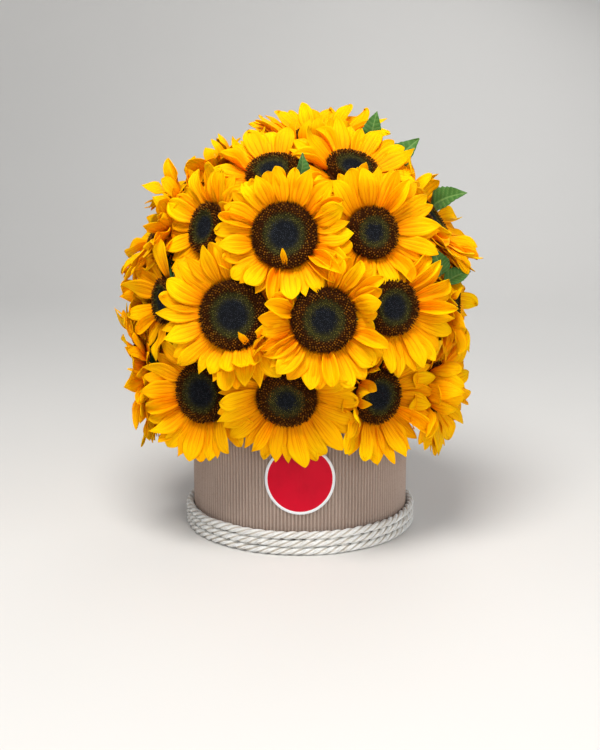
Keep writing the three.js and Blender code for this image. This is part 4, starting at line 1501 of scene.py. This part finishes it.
@dataclass
class Greens:
    """All that is green: the bracts behind each flower, its stem, and the leaves on their stalks."""

    blooms: list[Bloom]
    calyx_top: float = -6.2
    calyx_depth: float = 17.0
    calyx_share: float = 0.8
    calyx_sides: int = 24
    stem_radius: float = 4.5
    stem_bend: float = 38.0
    lowest_bend: float = 160.0
    stem_sides: int = 15
    stem_share: float = 0.97
    bend_start: float = 0.35
    bend_length: float = 5.0
    ribs: int = 5
    rib_height: float = 0.03
    hub: Spot = (0.0, 0.0, 160.0)
    hub_depth: float = 22.0
    sepals: int = 6
    sepal_reach: float = 17.0
    sepal_shares: tuple[float, ...] = (0.3, 0.5, 0.75, 1.0)
    sepal_sweep: float = 0.35
    dome_middle: Spot = (0.0, 0.0, 215.0)
    nudges: tuple[float, ...] = (0.0, 4.0, 8.0, 12.0, 16.0, 20.0)
    stalk_radius: float = 1.4
    stalk_dip: float = 0.15
    stalk_rings: int = 12
    bracts: int = 22
    bract_rows: int = 8
    bract_columns: int = 5
    bract_half: float = 4.6
    bract_fold: float = 0.28
    bract_jitter: float = 0.25
    bract_least: float = 2.0
    bract_lengths: tuple[float, float] = (0.72, 0.98)
    bract_lean: float = 1.2
    bract_foot: tuple[float, float] = (3.0, 5.0)
    bract_drop: tuple[float, float] = (0.4, 1.5)
    bract_thickness: float = 0.6
    bract_hair: tuple[float, float] = (1.0, 2.2)
    stem_hair: tuple[float, float] = (2.2, 3.4)
    hair_radius: float = 0.1
    stem_leaves: int = 4
    stem_leaf_length: tuple[float, float] = (34.0, 50.0)
    stem_leaf_depth: tuple[float, float] = (24.0, 36.0)
    stem_leaf_rise: tuple[float, float] = (-8.0, 6.0)
    stem_leaf_foot: float = 4.0
    stem_leaf_jitter: float = 0.2

    def build(self, finish: bpy.types.Material) -> bpy.types.Object:
        """Builds the one green piece.

        Args:
            finish: Its material.

        Returns:
            The piece.
        """
        known, _ = corners("stems")
        shape = Shape()
        for bloom in self.blooms:
            self.add_calyx(shape, bloom, known)
            self.add_stem(shape, bloom)
            self.add_stem_leaves(shape, bloom)
        for number, place in enumerate(LEAVES):
            self.add_leaf(shape, place, known, number)
        for number, place in enumerate(GAP_LEAVES):
            base, tip = np.array(place.base, float), np.array(place.tip, float)
            LeafBlade(base, tip, place.facing, Seed.GAP_LEAF.dice(number)).add(shape)
        return shape.build("stems_and_leaves", finish)

    def add_hairs(self, shape: Shape, feet: np.ndarray, ways: np.ndarray, length: np.ndarray) -> None:
        """Adds pale hairs to a shape."""
        shape.add(hairs(feet, ways, length, self.hair_radius), None, 1.0, 0.6)

    def reaches(self, bloom: Bloom, known: np.ndarray) -> np.ndarray:
        """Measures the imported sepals.

        Args:
            bloom: Their flower.
            known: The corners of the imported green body.

        Returns:
            How far each of them reaches past the disc's rim.
        """
        found = np.zeros(self.sepals)
        for i in range(self.sepals):
            out, _ = level_ways(2 * np.pi * i / self.sepals)
            for reach in np.array(self.sepal_shares) * self.sepal_reach:
                tip = out * (bloom.radius + reach) + UP * (self.calyx_top - self.sepal_sweep * reach)
                if has_corner(known, bloom.out(tip)):
                    found[i] = reach
        return found

    def add_calyx(self, shape: Shape, bloom: Bloom, known: np.ndarray) -> None:
        """Adds the cup behind a flower and two rows of pointed bracts.

        Args:
            shape: What they are added to.
            bloom: The flower.
            known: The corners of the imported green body.
        """
        dice = Seed.BRACTS.dice(bloom.number)
        edge = self.calyx_share * bloom.radius
        low = self.calyx_top - self.calyx_depth
        points, faces = lathe([
            (0, low - 2), (self.stem_radius, low - 2), (self.stem_radius * 1.15, low + 2),
            (edge * 0.62, low + 0.50 * self.calyx_depth), (edge, self.calyx_top - 2.2),
            (edge + 1.5, self.calyx_top - 0.6), (0, self.calyx_top),
        ], self.calyx_sides)
        shape.add((bloom.out(points), faces), None, 0.3, 0.0)
        reaches = self.reaches(bloom, known)
        for k in range(self.bracts):
            angle = 2 * np.pi * (k + dice.uniform(-self.bract_jitter, self.bract_jitter)) / self.bracts
            spot = angle / (2 * np.pi) * self.sepals
            one = reaches[math.floor(spot) % self.sepals]
            other = reaches[math.ceil(spot) % self.sepals]
            reach = max(self.bract_least, min(one, other) + 0.5 * abs(other - one) * dice.uniform(0, 0.5))
            self.add_bract(shape, bloom, angle, reach * dice.uniform(*self.bract_lengths), k % 2, dice)

    def add_bract(
        self, shape: Shape, bloom: Bloom, angle: float, reach: float, row: int, dice: np.random.Generator
    ) -> None:
        """Adds one bract: a narrow pointed leaf that starts under the cup's edge and sweeps back.

        Args:
            shape: What it is added to.
            bloom: Its flower.
            angle: Which way out it points.
            reach: How far it goes past the disc's rim.
            row: 0 in the upper row, 1 in the lower.
            dice: For its lean and its hairs.
        """
        rows, columns = self.bract_rows, self.bract_columns
        t = np.linspace(0, 1, rows)[:, None]
        u = np.linspace(-1, 1, columns)
        start = self.calyx_share * bloom.radius - self.bract_foot[row]
        top = self.calyx_top - self.bract_drop[row]
        half = self.bract_half * (1 - (1 - np.clip(t / 0.3, 0, 1)) ** 2 * 0.4) * (1 - t**1.6) + 0.15
        far = start + (bloom.radius + reach - start) * t
        high = top - self.sepal_sweep * reach * t**1.8 - self.bract_fold * np.abs(u) * half
        beside = dice.uniform(-self.bract_lean, self.bract_lean) * t**2 + u * half
        out, left = level_ways(angle)
        grid = out * far[..., None] + left * beside[..., None] + UP * high[..., None]
        body = plate(bloom.out(grid), self.bract_thickness)
        shade = np.tile(0.55 * np.exp(-((u / 0.2) ** 2)), 2 * rows)
        shape.add(body, np.tile(grid_places(u, t), (2, 1)), dice.uniform(0, 0.5), shade)
        rim = body[0][: rows * columns].reshape(rows, columns, 3)[1:]
        feet = np.concatenate([rim[:, 0], rim[:, -1]])
        ways = feet - np.tile(rim[:, columns // 2], (2, 1)) + dice.normal(0, 0.5, feet.shape)
        self.add_hairs(shape, feet, ways, dice.uniform(*self.bract_hair, len(feet)))

    def stem_line(self, bloom: Bloom) -> np.ndarray:
        """Works out the middle of a stem.

        Args:
            bloom: Its flower.

        Returns:
            Its top under the calyx, its bend and its end in the foam.
        """
        hub = np.array(self.hub)
        foot = bloom.middle + bloom.facing * (self.calyx_top - self.calyx_depth)
        bend = bloom.middle - bloom.facing * self.stem_bend
        bend[2] = max(bend[2], self.lowest_bend)
        return np.array([foot, bend, hub + unit(bend - hub) * self.hub_depth])

    def add_stem(self, shape: Shape, bloom: Bloom) -> None:
        """Adds a hairy stem, ribbed lengthwise.

        Args:
            shape: What it is added to.
            bloom: Its flower.
        """
        foot, bend, end = self.stem_line(bloom)
        turn_in = bend + (foot - bend) * self.bend_start
        turn_out = bend + unit(end - bend) * self.bend_length
        line = np.concatenate([
            np.linspace(foot + (foot - bend) * 0.1, turn_in, 4),
            [bend * 0.7 + (turn_in + turn_out) * 0.15],
            np.linspace(turn_out, end, 8),
        ])
        turns = 2 * np.pi * np.arange(self.stem_sides) / self.stem_sides
        radius = self.stem_radius * self.stem_share * (1 + self.rib_height * np.cos(self.ribs * turns))
        points, faces = tube(line, np.tile(radius, (len(line), 1)), self.stem_sides)
        shape.add((points, faces), None, 0.1, 0.0)
        dice = Seed.STEM_HAIRS.dice(bloom.number)
        skin = points[:-2]
        feet = skin + dice.normal(0, 0.6, skin.shape)
        ways = skin - np.repeat(line, self.stem_sides, axis=0) + dice.normal(0, 1.5, skin.shape)
        self.add_hairs(shape, feet - unit(ways), ways, dice.uniform(*self.stem_hair, len(feet)))

    def add_stem_leaves(self, shape: Shape, bloom: Bloom) -> None:
        """Adds the small leaves just below a flower, which fill the dark gaps between the heads.

        Args:
            shape: What they are added to.
            bloom: The flower.
        """
        dice = Seed.STEM_LEAVES.dice(bloom.number)
        turn = dice.uniform(0, 2 * np.pi)
        for k in range(self.stem_leaves):
            share = (k + dice.uniform(-self.stem_leaf_jitter, self.stem_leaf_jitter)) / self.stem_leaves
            out, _ = level_ways(turn + 2 * np.pi * share)
            base = out * self.stem_leaf_foot - UP * dice.uniform(*self.stem_leaf_depth)
            tip = base + out * dice.uniform(*self.stem_leaf_length) + UP * dice.uniform(*self.stem_leaf_rise)
            LeafBlade(bloom.out(base), bloom.out(tip), bloom.facing, dice, rows=19, columns=9).add(shape)

    def add_leaf(self, shape: Shape, place: LeafPlace, known: np.ndarray, number: int) -> None:
        """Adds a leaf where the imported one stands, with its stalk.

        Args:
            shape: What it is added to.
            place: Where the leaf would stand if nothing moved it out.
            known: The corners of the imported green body, which show how far it was moved.
            number: Of the leaf.
        """
        away = unit(np.array(place.base, float) - np.array(self.dome_middle))
        for distance in self.nudges:
            base = np.array(place.base) + away * distance
            tip = np.array(place.tip) + away * distance
            if has_corner(known, tip):
                break
        else:
            LOG.warning("leaf %d has no place", number)
            return
        LeafBlade(base, tip, place.facing, Seed.LEAF.dice(number)).add(shape)
        hub = np.array(self.hub)
        bends = [self.stem_line(bloom)[1] for bloom in self.blooms]
        joints = [bend + (hub - bend) * self.stalk_dip for bend in bends]
        joint = min(joints, key=lambda point: np.linalg.norm(point - base))
        path = np.array([base + unit(tip - base) * 2, base + (hub - base) * self.stalk_dip, joint])
        line = through(path, np.array([0.0, 0.5, 1.0]), np.linspace(0, 1, self.stalk_rings))
        radius = np.linspace(0.85, 1.0, self.stalk_rings) * self.stalk_radius
        shape.add(tube(line, radius, 8), None, 0.4, 0.2)


@dataclass
class LeafBlade:
    """A heart-shaped leaf with a toothed edge, folded along its rib, arched, and puckered between its veins.

    Its heights, widths and outline are shares of its length.
    """

    base: np.ndarray
    tip: np.ndarray
    facing: np.ndarray
    dice: np.random.Generator
    thickness: float = 0.5
    arch: float = 0.1
    fold: float = 0.35
    rows: int = 41
    columns: int = 17
    teeth: int = 9
    tooth_depth: float = 0.035
    veins: int = 8
    vein_slant: float = 0.55
    vein_width: float = 0.10
    vein_end: float = 0.93
    vein_shade: float = 0.45
    rib_width: float = 0.010
    rib_height: float = 0.006
    rib_shade: float = 0.75
    pucker_height: float = 0.012
    wave_height: float = 0.02
    wave_count: float = 2.3
    wave_phase: float = 6.0
    tones: tuple[float, float] = (0.3, 0.9)
    outline: tuple[tuple[float, float], ...] = (
        (0.0, 0.02), (0.03, 0.12), (0.08, 0.20), (0.2, 0.295), (0.32, 0.29), (0.46, 0.28), (0.6, 0.23),
        (0.74, 0.165), (0.88, 0.08), (0.96, 0.028), (1.0, 0.004),
    )

    def add(self, shape: Shape) -> None:
        """Adds the leaf.

        Args:
            shape: What it is added to.
        """
        length = float(np.linalg.norm(self.tip - self.base))
        along = unit(self.tip - self.base)
        side = unit(np.cross(self.facing, along))
        x = np.linspace(0, 1, self.rows)[:, None]
        u = np.linspace(-1, 1, self.columns)
        shares, halves = np.array(self.outline).T
        swell = np.sin(np.pi * x)
        teeth = 1 + self.tooth_depth * np.sin(2 * np.pi * self.teeth * x) * swell
        across = u * np.interp(x, shares, halves) * teeth
        run = (x - self.vein_slant * np.abs(across)) * self.veins
        vein = np.exp(-(((run - np.round(run)) / self.vein_width) ** 2)) * (np.abs(u) < self.vein_end)
        rib = np.exp(-((across / self.rib_width) ** 2))
        pucker = self.pucker_height * np.cos(2 * np.pi * run) * np.abs(u) ** 0.5 * swell
        phase = self.dice.uniform(0, self.wave_phase)
        wave = self.wave_height * np.abs(u) ** 3 * np.sin(2 * np.pi * self.wave_count * x + phase)
        rise = self.arch * swell + self.fold * np.abs(across) - pucker + wave - self.rib_height * rib
        lift = np.cross(along, side) * rise[..., None]
        grid = self.base + length * (along * x[..., None] + side * across[..., None] + lift)
        shade = np.clip(self.rib_shade * rib + self.vein_shade * vein * (1 - rib), 0, 1).ravel()
        place = np.tile(grid_places(u, x), (2, 1))
        shape.add(plate(grid, self.thickness), place, self.dice.uniform(*self.tones), np.tile(shade, 2))


# ---------------------------------------------------------------- box, wrap, rope, sticker and foam


@dataclass
class Box:
    """The round card box."""

    wall: float = 2.0
    base: float = 3.0
    sides: int = 160
    foot_bevel: float = 0.8
    rim_bevel: tuple[float, float] = (0.5, 0.7)

    def build(self, finish: bpy.types.Material) -> bpy.types.Object:
        """Builds a cup with a softly worn rim.

        Args:
            finish: Its material.

        Returns:
            The piece.
        """
        _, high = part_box("box")
        radius, height = high.x / MM, high.z / MM
        inside = radius - self.wall
        foot = self.foot_bevel
        across, down = self.rim_bevel
        points, faces = lathe([
            (0, 0), (radius - foot, 0), (radius, foot), (radius, height - down), (radius - across, height),
            (inside + across, height), (inside, height - down), (inside, self.base), (0, self.base),
        ], self.sides)
        angle = np.arctan2(points[:, 1], points[:, 0])
        shape = Shape()
        shape.add((points, faces), np.stack([angle / (2 * np.pi), points[:, 2] * MM * PLACES_A_METRE], -1))
        return shape.build("card_box", finish)


@dataclass
class Wrap:
    """Single-faced corrugated card round the box, with its flutes upright."""

    crest: float = 101.4
    valley: float = 99.8
    inner: float = 99.15
    flutes: int = 190
    steps: int = 8
    rows: int = 9
    dents: int = 14
    dent_depth: tuple[float, float] = (0.1, 0.4)
    dent_narrowness: float = 900.0
    dent_height: float = 0.3

    def build(self, finish: bpy.types.Material) -> bpy.types.Object:
        """Builds the fluted sleeve, open at both ends so that the flutes show in its edge.

        Args:
            finish: Its material.

        Returns:
            The piece.
        """
        low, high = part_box("wrap")
        bottom, top = low.z / MM, high.z / MM
        count = self.flutes * self.steps
        angle = 2 * np.pi * np.arange(count) / count
        height = np.linspace(0, 1, self.rows)[:, None]
        wave = 0.5 + 0.5 * np.cos(self.flutes * angle) * np.ones((self.rows, 1))
        pressed = wave * self.dented(angle, height)
        outer = self.valley + (self.crest - self.valley) * np.clip(wave - pressed, 0, 1)
        radius = np.concatenate([outer, np.full((2, count), self.inner)])
        level = np.concatenate([bottom + (top - bottom) * height, [[top], [bottom]]])
        ring = np.stack(np.broadcast_arrays(radius * np.sin(angle), -radius * np.cos(angle), level), -1)
        number = np.arange(len(level) * count).reshape(len(level), count)
        after, above = np.roll(number, -1, axis=1), np.roll(number, -1, axis=0)
        faces = np.stack([number, after, np.roll(above, -1, axis=1), above], -1).reshape(-1, 4)
        # painted shade: full in the valleys between flutes and on the sleeve's inside, none on the crests
        shade = np.concatenate([1 - wave, np.ones((2, count))]).ravel()
        place = grid_places(angle / (2 * np.pi), level * MM * PLACES_A_METRE)
        shape = Shape()
        shape.add((ring.reshape(-1, 3), faces), place, 0.0, shade)
        return shape.build("corrugated_wrap", finish)

    def dented(self, angle: np.ndarray, height: np.ndarray) -> np.ndarray:
        """Scatters soft dents over the sleeve.

        Args:
            angle: Of each column of points.
            height: Of each row, from 0 to 1.

        Returns:
            How far each point is pressed in, as a share of a flute's height.
        """
        dice = Seed.DENTS.dice()
        pressed = np.zeros((len(height), len(angle)))
        for _ in range(self.dents):
            around, level = dice.uniform(0, 2 * np.pi), dice.uniform(0, 1)
            beside = np.exp((np.cos(angle - around) - 1) * self.dent_narrowness)
            over = np.exp(-(((height - level) / self.dent_height) ** 2))
            pressed += dice.uniform(*self.dent_depth) * beside * over
        return pressed


@dataclass
class Rope:
    """Rope of three strands wound three times round the box's foot.

    Its swell, sway, plumpness, yarns and flatness are shares of a strand's size.
    """

    diameter: float = 7.0
    turns: int = 3
    climb: float = 0.1
    gap: float = 0.3
    wrap_radius: float = 101.5
    lay: float = 31.0
    fullness: float = 7.45
    strand_swell: float = 1.17
    strands: int = 3
    sides: int = 12
    step: float = 1.4
    slack: float = 0.16
    slack_knots: int = 60
    slack_turn: float = 3.0
    sway: float = 0.12
    sway_length: float = 9.7
    sway_shift: float = 2.1
    plumpness: float = 0.11
    plump_knots: int = 90
    yarns: int = 5
    yarn_height: float = 0.06
    yarn_lay: float = 0.9
    yarn_turn: float = 6.28
    flatness: float = 0.94
    end_taper: float = 2.0
    end_share: float = 0.05
    hollow_level: float = 0.85
    hollow_swing: float = 0.8
    lowest: float = 0.05
    loose: int = 260
    loose_length: tuple[float, float] = (1.5, 4.5)
    loose_radius: float = 0.11
    loose_root: float = 0.3
    loose_sweep: float = 1.2
    loose_rise: float = 0.4

    def middle(self, wound: np.ndarray) -> np.ndarray:
        """Works out the rope's middle.

        Args:
            wound: How many turns each point is from the rope's lower end.

        Returns:
            The points.
        """
        level = np.floor(wound)
        climb = smoothstep(1 - self.climb, 1, wound - level)
        angle = 2 * np.pi * (wound + 0.5)
        radius = self.wrap_radius + self.gap + self.diameter / 2
        height = self.gap + self.diameter / 2 + (level + climb) * (self.diameter + self.gap)
        return np.stack([radius * np.sin(angle), -radius * np.cos(angle), height], -1)

    def build(self, finish: bpy.types.Material) -> bpy.types.Object:
        """Builds the strands, each a bundle of yarns with loose fibres.

        Args:
            finish: Their material.

        Returns:
            The piece.
        """
        dice = Seed.ROPE.dice()
        length = 2 * np.pi * (self.wrap_radius + self.diameter / 2) * (self.turns - self.climb)
        rings = int(length / self.step)
        wound = np.linspace(0, self.turns - self.climb, rings)
        run = wound / wound[-1] * length
        line = self.middle(wound)
        along = unit(np.gradient(line, axis=0))
        out = unit(line * (1, 1, 0))
        up = np.cross(out, along)
        strand = self.fullness / 2 / (1 + 2 / math.sqrt(3)) * self.strand_swell
        angle = 2 * np.pi * np.arange(self.sides) / self.sides
        yarn = (-2 * np.pi * run / (self.lay * self.yarn_lay))[:, None]
        close = np.sqrt(np.clip(np.minimum(run, length - run) / self.end_taper, self.end_share, 1))
        across = angle / (2 * np.pi) + yarn / self.yarn_turn
        place = grid_places(across, (run * MM * PLACES_A_METRE)[:, None])
        # painted shade mask: strongest on each strand's inner side, in the hollows between strands
        hollow = np.clip(self.hollow_level - self.hollow_swing * np.cos(angle), 0, 1)
        shade = np.append(np.tile(hollow, rings), (1, 1))
        slack = self.wander(dice, run, self.slack, self.slack_knots)
        shape = Shape()
        for k in range(self.strands):
            turn = (2 * np.pi * (run / self.lay + k / self.strands) + slack * self.slack_turn)[:, None]
            sway = 1 + self.sway * np.sin(run / self.sway_length + self.sway_shift * k) * (1 + slack)
            heading = out * np.cos(turn) + up * np.sin(turn)
            middle = line + heading * ((self.fullness / 2 - strand) * sway)[:, None]
            other = np.cross(unit(np.gradient(middle, axis=0)), heading)
            lobes = 1 + self.yarn_height * np.cos(self.yarns * (angle + yarn))
            plump = 1 + self.wander(dice, run, 1, self.plump_knots) * self.plumpness
            radius = (strand * lobes * (plump * close)[:, None])[..., None]
            outward = np.cos(angle)[:, None] * heading[:, None]
            aside = self.flatness * np.sin(angle)[:, None] * other[:, None]
            ring = middle[:, None] + radius * (outward + aside)
            ring[..., 2] = np.maximum(ring[..., 2], self.lowest)
            shape.add(ringed(ring), np.concatenate([place, place[:1], place[-1:]]), k / self.strands, shade)
            shape.add(self.loose_fibres(dice, middle, along, ring))
        return shape.build("twisted_rope", finish)

    def loose_fibres(
        self, dice: np.random.Generator, middle: np.ndarray, along: np.ndarray, ring: np.ndarray
    ) -> Body:
        """Makes the fibres that stand out of a strand, away from its ends and off the floor.

        Args:
            dice: For where they stand, and how they point.
            middle: The strand's middle, ring by ring.
            along: The way that the rope runs there.
            ring: The strand's points, ring by ring.

        Returns:
            Their points and faces.
        """
        at = dice.integers(2, len(ring) - 2, self.loose)
        feet = ring[at, dice.integers(-2, 3, self.loose)]
        ways = unit(feet - middle[at]) + along[at] * dice.normal(0, self.loose_sweep, self.loose)[:, None]
        ways[:, 2] = np.maximum(ways[:, 2], 0) + dice.uniform(0, self.loose_rise, self.loose)
        reach = dice.uniform(*self.loose_length, self.loose)
        points, faces = hairs(feet - self.loose_root * unit(ways), ways, reach, self.loose_radius)
        points[:, 2] = np.maximum(points[:, 2], self.lowest)
        return points, faces

    def wander(self, dice: np.random.Generator, run: np.ndarray, most: float, knots: int) -> np.ndarray:
        """A number that wanders evenly along the rope, by at most so much either way."""
        return np.interp(run, np.linspace(0, run[-1], knots), dice.uniform(-most, most, knots))


@dataclass
class Sticker:
    """The round sticker, bent to lie on the flutes."""

    flutes: int
    thickness: float = 0.5
    rings: int = 24
    sides: int = 96
    sink: float = 0.06
    ripple: float = 0.05

    def build(self, finish: bpy.types.Material) -> bpy.types.Object:
        """Builds a thin round plate that shows the flutes under it faintly.

        Args:
            finish: Its material.

        Returns:
            The piece.
        """
        low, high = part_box("label")
        size, middle = (high.z - low.z) / 2 / MM, (high.z + low.z) / 2 / MM
        outer = -low.y / MM
        share = np.linspace(0.02, 1, self.rings)[:, None]
        angle = 2 * np.pi * np.arange(self.sides) / self.sides
        x = size * share * np.cos(angle)
        z = size * share * np.sin(angle)
        front = outer - self.sink + self.ripple * np.cos(self.flutes * x / outer)
        back, face = (
            np.stack([r * np.sin(x / outer), -r * np.cos(x / outer), middle + z], -1)
            for r in (front - self.thickness, front)
        )
        shares = np.append(np.repeat(np.concatenate([share, share[::-1]]), self.sides), (0, 0))
        shape = Shape()
        shape.add(ringed(np.concatenate([back, face[::-1]])), grid_places(np.zeros(1), shares[:, None]))
        return shape.build("round_sticker", finish)


@dataclass
class Foam:
    """The floral foam, which keeps its packed form."""

    node: str = "foam"

    def dress(self, finish: bpy.types.Material) -> None:
        """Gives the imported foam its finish.

        Args:
            finish: Its material.
        """
        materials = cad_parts[self.node].data.materials
        materials.clear()
        materials.append(finish)
        LOG.info("%s: dressed", self.node)


# ---------------------------------------------------------------- light and view


@dataclass(frozen=True)
class Lamp:
    """A round soft light that looks at the bunch: its place and width in metres, and its power in watts."""

    name: str
    place: Spot
    width: float
    power: float
    tint: Colour

    def hang(self, aim: Spot) -> None:
        """Puts the light in the scene.

        Args:
            aim: What it looks at.
        """
        lamp = bpy.data.lights.new(self.name, "AREA")
        lamp.shape = "DISK"
        lamp.size = self.width
        lamp.energy = self.power
        lamp.color = self.tint
        look(linked(self.name, lamp), self.place, aim)


def look(holder: bpy.types.Object, place: Spot, aim: Spot) -> None:
    """Stands a light or camera at a place and turns it towards its aim."""
    holder.location = place
    holder.rotation_euler = (Vector(aim) - Vector(place)).to_track_quat("-Z", "Y").to_euler()


LAMPS = (
    Lamp("top", (-0.2, -0.7, 1.5), 0.8, 25.0, (1.0, 0.98, 0.95)),
    Lamp("front", (0.4, -1.9, 0.7), 1.0, 12.0, (1.0, 0.99, 0.97)),
    Lamp("side", (1.5, -0.6, 0.7), 1.0, 3.5, (0.96, 0.98, 1.0)),
    Lamp("back", (0.5, 1.6, 1.2), 1.2, 7.0, (1.0, 1.0, 1.0)),
)


@dataclass
class Studio:
    """A plain pale sweep, soft light from above and in front, and the camera. All sizes are in metres."""

    camera_place: Spot = (0.0, -1.3, 0.442)
    camera_aim: Spot = (0.0, 0.0, 0.141)
    lamp_aim: Spot = (0.0, 0.0, 0.22)
    sensor_mm: float = 36.0
    focal_pixels: float = 1413.0
    picture_height: float = 750.0
    sky: Colour = (0.92, 0.95, 1.0)
    sky_strength: float = 0.28
    sweep_side: float = 4.0
    sweep_turn: float = 1.2
    sweep_radius: float = 0.8
    sweep_steps: int = 12

    def build(self, finish: bpy.types.Material) -> None:
        """Makes the floor, the lights, the world and the camera.

        Args:
            finish: The floor's material.
        """
        self.sweep(finish)
        for lamp in LAMPS:
            lamp.hang(self.lamp_aim)
        world = bpy.data.worlds.new("studio")
        world.use_nodes = True
        background = world.node_tree.nodes["Background"]
        background.inputs["Color"].default_value = (*self.sky, 1)
        background.inputs["Strength"].default_value = self.sky_strength
        bpy.context.scene.world = world
        bpy.context.scene.view_settings.view_transform = "Standard"
        self.camera()
        LOG.info("studio: %d lamps", len(LAMPS))

    def sweep(self, finish: bpy.types.Material) -> None:
        """Makes the floor, which curves up into a wall behind.

        Args:
            finish: Its material.
        """
        side, turn, radius = self.sweep_side, self.sweep_turn, self.sweep_radius
        bends = np.linspace(0.1, math.pi / 2, self.sweep_steps)
        run = [(-side, 0.0), (turn, 0.0)]
        run += [(turn + radius * math.sin(a), radius - radius * math.cos(a)) for a in bends]
        run.append((turn + radius, side))
        points = [(x, y, z) for y, z in run for x in (-side, 0, side)]
        mesh = bpy.data.meshes.new("sweep")
        mesh.from_pydata(points, [], grid_faces(len(run), 3).tolist())
        mesh.polygons.foreach_set("use_smooth", np.full(len(mesh.polygons), True))
        mesh.materials.append(finish)
        linked("floor_sweep", mesh)

    def camera(self) -> None:
        """Stands the camera at the photograph's angle and framing."""
        data = bpy.data.cameras.new("camera")
        data.sensor_fit = "VERTICAL"
        data.sensor_height = self.sensor_mm
        data.lens = self.focal_pixels / self.picture_height * self.sensor_mm
        holder = linked("camera", data)
        look(holder, self.camera_place, self.camera_aim)
        bpy.context.scene.camera = holder


def main() -> None:
    """Builds every piece, dresses it and sets the studio."""
    logging.basicConfig(level=logging.INFO, format="%(name)s: %(message)s")
    effects = Effects()
    petal = PetalFinish().make(effects)
    disc = DiscFinish().make(effects)
    maker = PetalMaker()
    wrap = Wrap()
    blooms = [Bloom.read(number) for number in range(1, BLOOMS + 1)]
    for bloom in blooms:
        settle(bloom.build_petals(maker, petal), f"petals_{bloom.number:02d}")
        settle(bloom.build_disc(disc), f"disc_{bloom.number:02d}")
    settle(Greens(blooms).build(LeafFinish().make(effects)), "stems")
    settle(Box().build(BOX_CARD.make(effects)), "box")
    settle(wrap.build(CardFinish().make(effects)), "wrap")
    settle(Rope().build(RopeFinish().make(effects)), "rope")
    settle(Sticker(wrap.flutes).build(StickerFinish().make(effects)), "label")
    Foam().dress(FoamFinish().make(effects))
    Studio().build(FloorFinish().make(effects))


if __name__ == "__main__":
    main()
